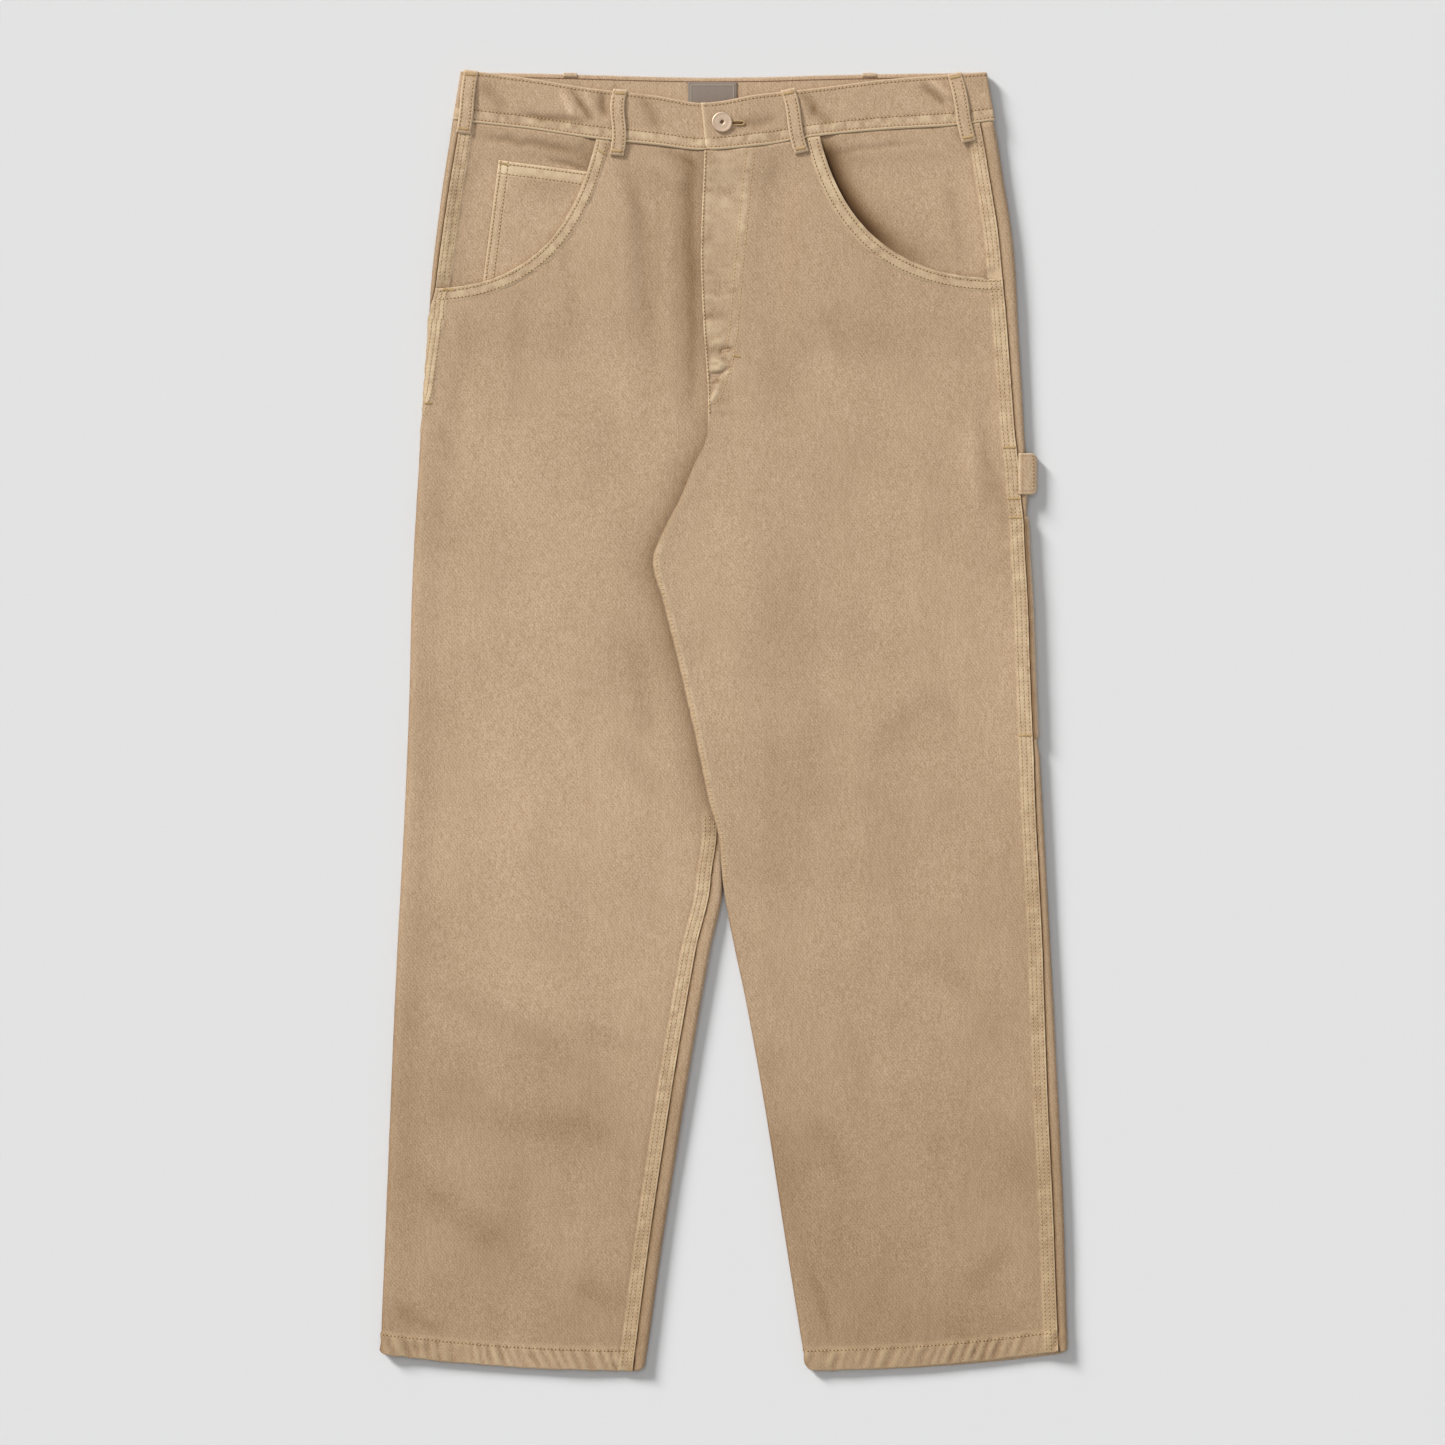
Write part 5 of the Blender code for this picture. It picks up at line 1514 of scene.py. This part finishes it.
def make_tool_pocket(leg):
    """The long patch on the left back leg, of which a strip shows at the side seam."""
    y = np.linspace(TOOL_TOP, TOOL_FOOT, 110)
    y[1:3], y[-3:-1] = TOOL_TOP - np.array((0.4, 1.0)), TOOL_FOOT + np.array((1.0, 0.4))
    total = leg.seam("total", y)
    start = leg.seam("back", y) - 0.6
    end = total - np.abs(leg.outer(y) - TOOL_INSIDE)
    near = np.linspace(0, 1, 26)
    places = start[:, None] + (end - start)[:, None] * near[None, :] ** 1.8
    points, normals = leg.at(y[:, None] + 0 * places, places)
    from_top, from_foot = (TOOL_TOP - y)[:, None], (y - TOOL_FOOT)[:, None]
    from_side = start[:, None] - places
    fine = edge_round(np.minimum(from_top, from_foot) + 0 * places)
    fine += 0.14 * noise(y[:, None] / 6, places / 9, 81)
    wear = 0.3 * peak(from_side - 3.0, 2.0) + 0.3 * peak(from_top, 2)
    # Painted shadow line at the side seam's gap
    wear -= 1.1 * peak(from_side, 1.3)
    wear += 0.12 * noise(y[:, None] / 7, places / 6, 82)
    facing_up = np.clip(1 + 2 * normals[..., 2], 0, 1)
    outer = points + normals * (SEAM_GAP + CLOTH + fine * facing_up)[..., None]
    inner = points + normals * SEAM_GAP
    keep_surface("tool_pocket", outer)
    piece = shell("tool_pocket", outer, inner, cotton_twill, step=3, wear=wear, shade=0.0 * wear)
    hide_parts("tool_pocket")


def make_hammer_loop(leg):
    """A strap out of the side seam that bows round the side of the leg to the back."""
    middle = (HAMMER_TOP + HAMMER_FOOT) / 2
    side = float(leg.outer(middle))
    top = float(outer_top(middle)) + SEAM_RELIEF
    seam_x = side - float(leg.outseam(middle)) - 1.0
    path = [(seam_x, middle, top + 0.4), (seam_x + 4, middle, top + 0.5), (side + 1.5, middle, top - 0.4)]
    path += [(HAMMER_REACH - 3.4, middle, top - 1.8), (HAMMER_REACH - 1.5, middle, 3.4)]
    path += [(HAMMER_REACH - 2.6, middle, 1.9), (side + 2.0, middle, 1.2), (side - 4, middle, 1.2)]
    path += [(200, middle, 1.2), (HAMMER_INSIDE, middle, 1.2)]
    width = HAMMER_TOP - HAMMER_FOOT
    strap("hammer_loop", path, (0.0, -1.0, 0.0), width, CLOTH, 88, pinch=2.4)
    ends = HAMMER_REACH - 3.6
    row = [(ends, HAMMER_TOP - 2.0), (HAMMER_REACH - 3.2, middle), (ends, HAMMER_FOOT + 2.0)]
    sew("left_pocket", "hammer_loop", flat_run(row))


# Sewing. Each stitch is a capsule laid on the cloth, and each needle hole a small dark bead of painted
# shade beside it.

stitch_lists = {}

# A stitch is looked for from so far off the cloth, and found only within the slack of the run's own height
LOOK_FROM = 9
LOOK_SLACK = 6

# The height that a run seen from above starts from, about that of the cloth at the waist
FLAT_HEIGHT = 7.0


def sew(group, surface, run, pitch=STITCH_PITCH, share=STITCH_SHARE, kind="topstitch", hole=NEEDLE_HOLE):
    """Lays stitches along a run of (point, normal) pairs, on one of the kept surfaces.

    hole is the size of the dark bead of painted shade at the needle's hole before each stitch, 0 for none.
    Underneath, where the cloth rests, a stitch sinks in until it is flush."""
    points, normals = run
    lengths = np.concatenate(([0.0], np.cumsum(np.linalg.norm(np.diff(points, axis=0), axis=1))))
    tree = surfaces[surface]
    stitches = stitch_lists.setdefault((kind, group), [])
    count = int(lengths[-1] / pitch)
    for k in range(count):
        along = (k + np.array((0.0, 0.5, 1.0)) * share + (1 - share) / 2) * pitch
        laid = []
        for at in along:
            point = Vector([float(np.interp(at, lengths, points[:, i])) for i in range(3)])
            normal = Vector([float(np.interp(at, lengths, normals[:, i])) for i in range(3)]).normalized()
            hit, _, _, distance = tree.ray_cast(point + normal * LOOK_FROM, -normal, 2 * LOOK_FROM)
            if hit is None or abs(distance - LOOK_FROM) > LOOK_SLACK:
                break
            laid.append(np.array(hit) + np.array(normal) * STITCH_LIFT)
            laid[-1][2] = max(laid[-1][2], THREAD / 2)
        if len(laid) == 3:
            stitches.append((laid[0], laid[1], laid[2], np.array(normal), hole))


def flat_run(line, step=1.0):
    """A run over a flat surface, seen from above."""
    line = np.array(line, float)
    lengths = np.concatenate(([0.0], np.cumsum(np.linalg.norm(np.diff(line, axis=0), axis=1))))
    at = np.arange(0, lengths[-1], step)
    x, y = (np.interp(at, lengths, line[:, k]) for k in range(2))
    points = np.stack((x, y, np.full_like(x, FLAT_HEIGHT)), axis=1)
    return points, np.tile((0.0, 0.0, 1.0), (len(points), 1))


def seam_run(leg, seam, away, top, bottom):
    """A run along a leg's seam, so far away from it along the cloth."""
    y = np.arange(top, bottom, -1.0)
    places = leg.seam(seam, y) + away + rolled(leg, y) * (seam == "front")
    return leg.at(y, places)


def offset_line(line, away):
    """A line moved sideways by a distance, to the left of its direction."""
    line = np.array(line, float)
    along = np.gradient(line, axis=0)
    along /= np.linalg.norm(along, axis=1)[:, None]
    return line + np.stack((-along[:, 1], along[:, 0]), axis=1) * away


def bartack(group, surface, start, end, width=2.6):
    """A bar of close stitches between two points, seen from above."""
    start, end = np.array(start, float), np.array(end, float)
    reach = np.linalg.norm(end - start)
    along = (end - start) / reach
    across = np.array((-along[1], along[0])) * width / 2
    for k in range(int(reach / BAR_PITCH)):
        middle = start + along * (k * BAR_PITCH + 0.3)
        line = (middle - across, middle + across)
        sew(group, surface, flat_run(line, step=0.1), pitch=width * 0.94, share=0.94, kind="bartack")


def stitch_mesh(name, stitches, material, radius):
    """Joins many stitches into one mesh of bent capsules.

    Each ring has its share of the way along, its size, and how far it lifts."""
    sides = 5
    rings = ((0.0, 0.35, -0.5), (0.22, 0.95, 0.05), (0.78, 0.95, 0.05), (1.0, 0.35, -0.5))
    points, faces = [], []
    for start, middle, end, normal, _ in stitches:
        along = (end - start) / max(1e-6, np.linalg.norm(end - start))
        side = np.cross(normal, along)
        side /= max(1e-6, np.linalg.norm(side))
        first = len(points)
        for t, size, lift in rings:
            centre = start * (1 - t) * (1 - 2 * t) + middle * 4 * t * (1 - t) + end * t * (2 * t - 1)
            centre = centre + normal * lift * radius
            centre[2] = max(centre[2], radius)
            for k in range(sides):
                turn = 2 * math.pi * (k + 0.5) / sides
                points.append(centre + (side * math.cos(turn) + normal * math.sin(turn)) * radius * size)
        for row in range(len(rings) - 1):
            for k in range(sides):
                a, b = first + row * sides + k, first + row * sides + (k + 1) % sides
                faces.append((a, b, b + sides, a + sides))
        faces.append(tuple(first + k for k in reversed(range(sides))))
        last = first + (len(rings) - 1) * sides
        faces.append(tuple(last + k for k in range(sides)))
    made = add_object(name, np.array(points), faces, material)
    work = bmesh.new()
    work.from_mesh(made.data)
    bmesh.ops.recalc_face_normals(work, faces=work.faces)
    work.to_mesh(made.data)
    work.free()


def hole_mesh(name, stitches):
    """Joins small dark beads of painted shade, one before every stitch that has a needle's hole, into one
    mesh.
    """
    points, faces = [], []
    corners = ((1, 0, 0), (0, 1, 0), (-1, 0, 0), (0, -1, 0), (0, 0, 0.5), (0, 0, -0.5))
    sides = ((0, 1, 4), (1, 2, 4), (2, 3, 4), (3, 0, 4), (1, 0, 5), (2, 1, 5), (3, 2, 5), (0, 3, 5))
    for start, _, end, normal, radius in stitches:
        if not radius:
            continue
        along = (end - start) / max(1e-6, np.linalg.norm(end - start))
        side = np.cross(normal, along)
        centre = start - along * 0.5 * (1 - STITCH_SHARE) * STITCH_PITCH - normal * 0.02
        centre[2] = max(centre[2], radius)
        first = len(points)
        for u, v, w in corners:
            points.append(centre + (along * u + side * v + normal * w) * radius)
        faces += [tuple(first + k for k in face) for face in sides]
    made = add_object(name, np.array(points), faces, needle_hole)


def lathe(name, profile, sides, material, x, y, z):
    """A round solid from a closed profile of (radius, height), first and last points on the axis."""
    points, faces = [(x, y, z + profile[0][1])], []
    for radius, height in profile[1:-1]:
        for k in range(sides):
            a = 2 * math.pi * k / sides
            points.append((x + radius * math.cos(a), y + radius * math.sin(a), z + height))
    points.append((x, y, z + profile[-1][1]))
    rows = len(profile) - 2
    for k in range(sides):
        n = (k + 1) % sides
        faces.append((0, 1 + n, 1 + k))
        for row in range(rows - 1):
            a, b = 1 + row * sides + k, 1 + row * sides + n
            faces.append((a, b, b + sides, a + sides))
        last = 1 + (rows - 1) * sides
        faces.append((len(points) - 1, last + k, last + n))
    return add_object(name, np.array(points), faces, material)


def make_button():
    """A flat-faced shank button with a rolled rim and a small pit in the middle, darkened with painted
    shade.
    """
    low = BAND_TOP + BAND_LAP_RISE + 0.15
    profile = (
        (0, 0.0), (2.6, 0.0), (2.6, 0.7), (6.9, 0.7), (7.7, 0.85), (BUTTON_RADIUS, 1.35), (8.05, 1.75),
        (7.6, 2.05), (7.1, 2.1), (6.6, 2.0), (6.0, 1.94), (4.0, 1.98), (2.3, 2.0), (1.7, 1.85), (1.4, 1.3),
        (1.35, 0.9), (0, 0.85),
    )
    button = lathe("button", profile, 48, copper_plate, BUTTON_X, BUTTON_Y, low)
    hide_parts("button")
    # A dark plug of painted shade in the pit
    pit = lathe(
        "button_pit", ((0, 0.86), (1.2, 0.86), (1.5, 0.96), (1.42, 1.2), (0, 1.3)), 24, needle_hole,
        BUTTON_X, BUTTON_Y, low,
    )


def make_buttonhole():
    """A keyhole in the waistband's end: a slit of painted shade in a close border of thread."""
    left, right, y = 6.0, 14.6, 477.4
    surface = surfaces["waistband"]
    top = surface.ray_cast(Vector(((left + right) / 2, y, 20)), Vector((0, 0, -1)))[0].z
    threads = stitch_lists.setdefault(("bartack", "buttonhole"), [])
    count = 22
    up = np.array((0.0, 0.0, 1.0))
    for sign in (-1, 1):
        for k in range(count):
            x = left + (right - left) * (k + 0.5) / count
            low, high = np.array((x, y + sign * 0.9, top + 0.2)), np.array((x, y + sign * 2.0, top + 0.15))
            threads.append((low, (low + high) / 2 + up * 0.15, high, up, 0))
    for centre, turn in ((left, math.pi), (right, 0.0)):
        for k in range(7):
            a = turn + math.radians(-90 + 30 * k)
            way = np.array((math.cos(a), math.sin(a), 0.0))
            middle = np.array((centre, y, top + 0.15))
            threads.append((middle + way * 0.5, middle + way * 1.2 + up * 0.15, middle + way * 2.0, up, 0))
    # The slit is a thin dark disc of painted shade laid on the band
    profile = ((0, 0.0), (1.0, 0.0), (1.0, 0.22), (0, 0.22))
    slit = lathe("buttonhole_slit", profile, 20, needle_hole, 0, 0, top)
    for vertex in slit.data.vertices:
        along, aside = vertex.co.x / MM + CENTRE[0], vertex.co.y / MM + CENTRE[1]
        vertex.co.x = ((left + right) / 2 + along * (right - left) / 2 - CENTRE[0]) * MM
        vertex.co.y = (y + aside - CENTRE[1]) * MM


def make_label():
    """A plain woven label inside the back waistband, with a border and no words."""
    low = BAND_UNDER + BAND_CLOTH + 0.2
    rows, columns = 40, 56
    y = np.linspace(LABEL_TOP, LABEL_FOOT, rows)[:, None]
    x = np.linspace(LABEL_LEFT, LABEL_RIGHT, columns)[None, :]
    x, y = np.broadcast_arrays(x, y)
    sides = (x - LABEL_LEFT, LABEL_RIGHT - x, LABEL_TOP - y, y - LABEL_FOOT)
    edge = np.minimum.reduce(sides)
    height = low + 0.75 + 0.3 * noise(x / 18, y / 14, 95) + edge_round(edge, 0.5)
    outer = np.stack((x, y, height), axis=-1)
    inner = np.stack((x, y, np.full_like(x, low)), axis=-1)
    keep_surface("label", outer)
    piece = shell("label", outer, inner, label_weave, step=3)
    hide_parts("label")
    points, faces = [], []
    inset, thick = 2.6, 0.55
    left, right = LABEL_LEFT + inset, LABEL_RIGHT - inset
    top, foot = LABEL_TOP - inset, LABEL_FOOT + inset
    corners = ((left, top), (right, top), (right, foot), (left, foot))
    tree = surfaces["label"]
    for (ax, ay), (bx, by) in zip(corners, corners[1:] + corners[:1]):
        count = 24
        for k in range(count):
            first = len(points)
            for t in (k / count, (k + 1) / count):
                px, py = ax + (bx - ax) * t, ay + (by - ay) * t
                top_z = tree.ray_cast(Vector((px, py, 20)), Vector((0, 0, -1)))[0].z
                wide = np.array((by - ay, ax - bx)) / math.hypot(bx - ax, by - ay) * thick
                for sign, lift in ((-1, -0.1), (-1, 0.12), (1, 0.12), (1, -0.1)):
                    points.append((px + wide[0] * sign, py + wide[1] * sign, top_z + lift))
            faces += [tuple(first + i for i in (a, (a + 1) % 4, 4 + (a + 1) % 4, 4 + a)) for a in range(4)]
            faces += [(first, first + 3, first + 2, first + 1), tuple(first + 4 + i for i in range(4))]
    border = add_object("label_border", np.array(points), faces, label_border)


make_front("front_right", right_leg, MOUTH_RIGHT, 11)
make_front("front_left", left_leg, MOUTH_LEFT, 12)
make_back("back_right", right_leg, 13)
make_back("back_left", left_leg, 14)
# The last column is how strong the painted shadow inside each pocket mouth is
FACINGS = table(
    "name leg mouth mouth_height reach seed gape",
    ("pocket_facing_right", right_leg, MOUTH_RIGHT, mouth_right_y, facing_reach_right, 15, 0.4),
    ("pocket_facing_left", left_leg, MOUTH_LEFT, mouth_left_y, facing_reach_left, 16, 2.3),
)
for row in zip(*FACINGS.values()):
    make_pocket_facing(*row)
make_coin_pocket()
make_waistband()
for row in zip(*FRONT_LOOPS.values()):
    make_front_loop(*row)
for row in zip(*BACK_LOOPS.values()):
    make_back_loop(*row)
make_tool_pocket(left_leg)
make_hammer_loop(left_leg)

# Felled rows along the legs' seams: where each lies, the side of the seam, and its two ends
LEG_ROWS = table(
    "group surface leg seam side top bottom",
    ("right_leg", "front_right", right_leg, "front", 1, 344, -516),
    ("left_leg", "front_left", left_leg, "front", 1, 352, -516),
    ("right_leg", "front_right", right_leg, "front_end", -1, -76, -516),
    ("right_pocket", "pocket_facing_right", right_leg, "front", 1, 474, 350),
    ("left_pocket", "pocket_facing_left", left_leg, "front", 1, 474, 358),
)

# Bartacks: their two ends
BARTACKS = table(
    "group surface x0 y0 x1 y1",
    ("right_leg", "front_right", -100.6, 456.0, -94.6, 452.6),
    ("right_leg", "front_right", -228.0, 345.4, -215.6, 344.4),
    ("left_leg", "front_left", 78.0, 461.0, 84.6, 457.6),
    ("right_leg", "front_right", -239.6, 254.0, -233.0, 254.6),
    ("left_leg", "front_left", 7.4, 292.2, 12.4, 291.4),
    ("left_leg", "front_left", -20.4, 250.6, -12.0, 251.6),
)

# Heights of the bartacks across the left side seam, at the hammer loop and the tool pocket
SIDE_BARTACKS = (219.0, 178.0, 163.0, -11.0)


def sew_legs():
    """The rows along the legs' seams, and along the pocket mouths."""
    for away in FELLED_ROWS:
        for group, surface, leg, seam, side, top, bottom in zip(*LEG_ROWS.values()):
            sew(group, surface, seam_run(leg, seam, side * away, top, bottom), hole=FELLED_HOLE)
    for away in EDGE_ROWS:
        for group, surface, mouth, side in (
            ("right_leg", "front_right", MOUTH_RIGHT, 1),
            ("left_leg", "front_left", MOUTH_LEFT, -1),
        ):
            sew(group, surface, flat_run(offset_line(bezier(mouth, np.linspace(0, 1, 60)), side * away)))


def sew_fly():
    """A row beside the fly's edge, and the J-shaped double row."""
    y = np.arange(456, 240, -2.0)
    sew("fly", "front_left", flat_run(np.stack((left_leg.inner(y) + FLY_ROW, y), axis=1)))
    sew("fly", "front_left", flat_run(FLY_J), hole=0)
    sew("fly", "front_left", flat_run(offset_line(FLY_J[:-2], -FLY_J_GAP)), hole=0)


def mark_inseam():
    """Short marks across the left leg's inseam, where the felled seam rolls over its edge."""
    for y in np.arange(134.0, -150.0, -3.1):
        place = float(left_leg.seam("front_end", y))
        places = np.array((place - 0.8, place - 3.2, place - 5.8))
        run = left_leg.at(np.array((y, y - 0.3, y - 0.8)), places)
        sew("left_inseam", "front_left", run, pitch=4.9, hole=0)


def sew_hem(group, surface, leg):
    """The row along a hem, which dips like the hem's edge."""
    t = np.linspace(0.01, 0.99, 120)
    row_y = HEM_Y + HEM_DEPTH - HEM_ROW
    start, end = leg.seam("front", row_y - 8), leg.seam("front_end", row_y - 8)
    y = row_y - HEM_DROP * (1 - (1 - t) ** 2)
    sew(group, surface, leg.at(y, start + (end - start) * t))


def sew_waistband():
    """The waistband's three rows, on both sides, and the inner row at the back."""
    rows = (*(row / BAND_HIGH for row in BAND_FOOT_ROWS), 1 - BAND_HEAD_ROW / BAND_HIGH)
    for share in rows:
        for first, last in ((214.0, -15.0), (-15.0, -214.0)):
            across = np.arange(first, last, -1.0)
            sew("waist", "waistband", flat_run(np.stack(band_place(across, 0.0, share), axis=1)))
    across = np.arange(196.0, -196.0, -1.0)
    line = np.stack(band_place(across, 1.0, 1 - BAND_INSIDE_ROW / BAND_HIGH), axis=1)
    sew("waist_inside", "waistband_inside", flat_run(line), kind="inside")


def sew_coin_pocket():
    """The coin pocket's two double rows, and the bartack at its corner."""
    corner, inner_top, _, outer_foot = (np.array(corner) for corner in COIN_CORNERS)
    across = (inner_top - corner) / np.linalg.norm(inner_top - corner)
    down = (outer_foot - corner) / np.linalg.norm(outer_foot - corner)
    for away in COIN_TOP_ROWS:
        line = (corner + down * away + across * 1, inner_top + down * away)
        sew("right_pocket", "coin_pocket", flat_run(line))
    for away in COIN_SIDE_ROWS:
        line = (corner + across * away + down * 1, outer_foot + across * away)
        sew("right_pocket", "coin_pocket", flat_run(line))
    ends = (corner + across * 1 + down * 1.8, corner + across * 9 + down * 3.0)
    bartack("right_pocket", "coin_pocket", *ends)


def place_bartacks():
    """The bartacks of the legs, the fly and the pocket mouths."""
    for group, surface, x0, y0, x1, y1 in zip(*BARTACKS.values()):
        bartack(group, surface, (x0, y0), (x1, y1))
    for y in SIDE_BARTACKS:
        seam_x = float(left_leg.outer(y) - left_leg.outseam(y))
        bartack("left_leg", "front_left", (seam_x - 11.0, y), (seam_x - 1.0, y))


sew_legs()
sew_fly()
mark_inseam()
sew_hem("right_leg", "front_right", right_leg)
sew_hem("left_leg", "front_left", left_leg)
sew_waistband()
sew_coin_pocket()
place_bartacks()

make_button()
make_buttonhole()
make_label()

everything = []
for (kind, group), stitches in stitch_lists.items():
    if not stitches:
        continue
    material = {"inside": red_thread, "bartack": bartack_thread}.get(kind, topstitch_thread)
    stitch_mesh(f"{kind}_{group}", stitches, material, BAR_RADIUS if kind == "bartack" else THREAD * 0.5)
    if kind != "bartack":
        everything += stitches
# The dark beads of painted shade at the needle holes
hole_mesh("needle_hole_shades", everything)
print("stitches", len(everything))


# Floor, light and camera

# How far the floor reaches each way, in metres, and how strong the even light all round is
FLOOR = 60
WORLD_LIGHT = 0.345
floor_mesh = bpy.data.meshes.new("floor")
corners = [(-FLOOR, -FLOOR, 0), (FLOOR, -FLOOR, 0), (FLOOR, FLOOR, 0), (-FLOOR, FLOOR, 0)]
floor_mesh.from_pydata(corners, [], [(0, 1, 2, 3)])
floor = bpy.data.objects.new("floor", floor_mesh)
bpy.context.scene.collection.objects.link(floor)
paper, tree, shader, place = new_material("pale_paper")
grey = mixed(tree, specks(tree, place, 1.5 * MM, Detail=2.0), "E1E1E1", "E3E3E3")
tree.links.new(grey, shader.inputs["Base Color"])
shader.inputs["Roughness"].default_value = 0.95
floor_mesh.materials.append(paper)


def add_sun(name, toward, elevation, softness, energy, floor_state):
    """Light from a compass direction in the picture (0 is its top, 270 its left) and a height.

    floor_state limits it: INCLUDE to the floor alone, and EXCLUDE to everything but the floor."""
    lamp = bpy.data.lights.new(name, "SUN")
    lamp.energy = energy
    lamp.angle = math.radians(softness)
    made = bpy.data.objects.new(name, lamp)
    side, up = math.radians(toward), math.radians(elevation)
    way = Vector((math.sin(side) * math.cos(up), math.cos(side) * math.cos(up), math.sin(up)))
    made.rotation_euler = way.to_track_quat("Z", "Y").to_euler()
    bpy.context.scene.collection.objects.link(made)
    if floor_state:
        limit = bpy.data.collections.new(f"{name}_limit")
        limit.objects.link(floor)
        limit.collection_objects[0].light_linking.link_state = floor_state
        made.light_linking.receiver_collection = limit


LIGHTS = table(
    "name toward elevation softness energy floor_state",
    ("top_light", 320, 60, 30, 0.34, None),
    ("floor_light", 315, 16.5, 14, 6.2, "INCLUDE"),
    ("key_light", 316, 28, 12, 3.2, "EXCLUDE"),
    ("fill_light", 125, 28, 60, 0.8, "EXCLUDE"),
)
for row in zip(*LIGHTS.values()):
    add_sun(*row)
world = bpy.data.worlds.new("studio")
world.use_nodes = True
background = world.node_tree.nodes["Background"]
background.inputs["Color"].default_value = (1.0, 1.0, 1.0, 1.0)
background.inputs["Strength"].default_value = WORLD_LIGHT
bpy.context.scene.world = world
bpy.context.scene.view_settings.view_transform = "Standard"

# The camera looks straight down; all in metres
VIEW_WIDTH = 1.156
CAMERA_PLACE = (-0.63 * MM, -1.68 * MM, 3.0)
CAMERA_REACH = 200
camera_data = bpy.data.cameras.new("camera")
camera_data.lens = camera_data.sensor_width * CAMERA_PLACE[2] / VIEW_WIDTH
camera_data.clip_end = CAMERA_REACH
camera = bpy.data.objects.new("camera", camera_data)
camera.location = CAMERA_PLACE
bpy.context.scene.collection.objects.link(camera)
bpy.context.scene.camera = camera
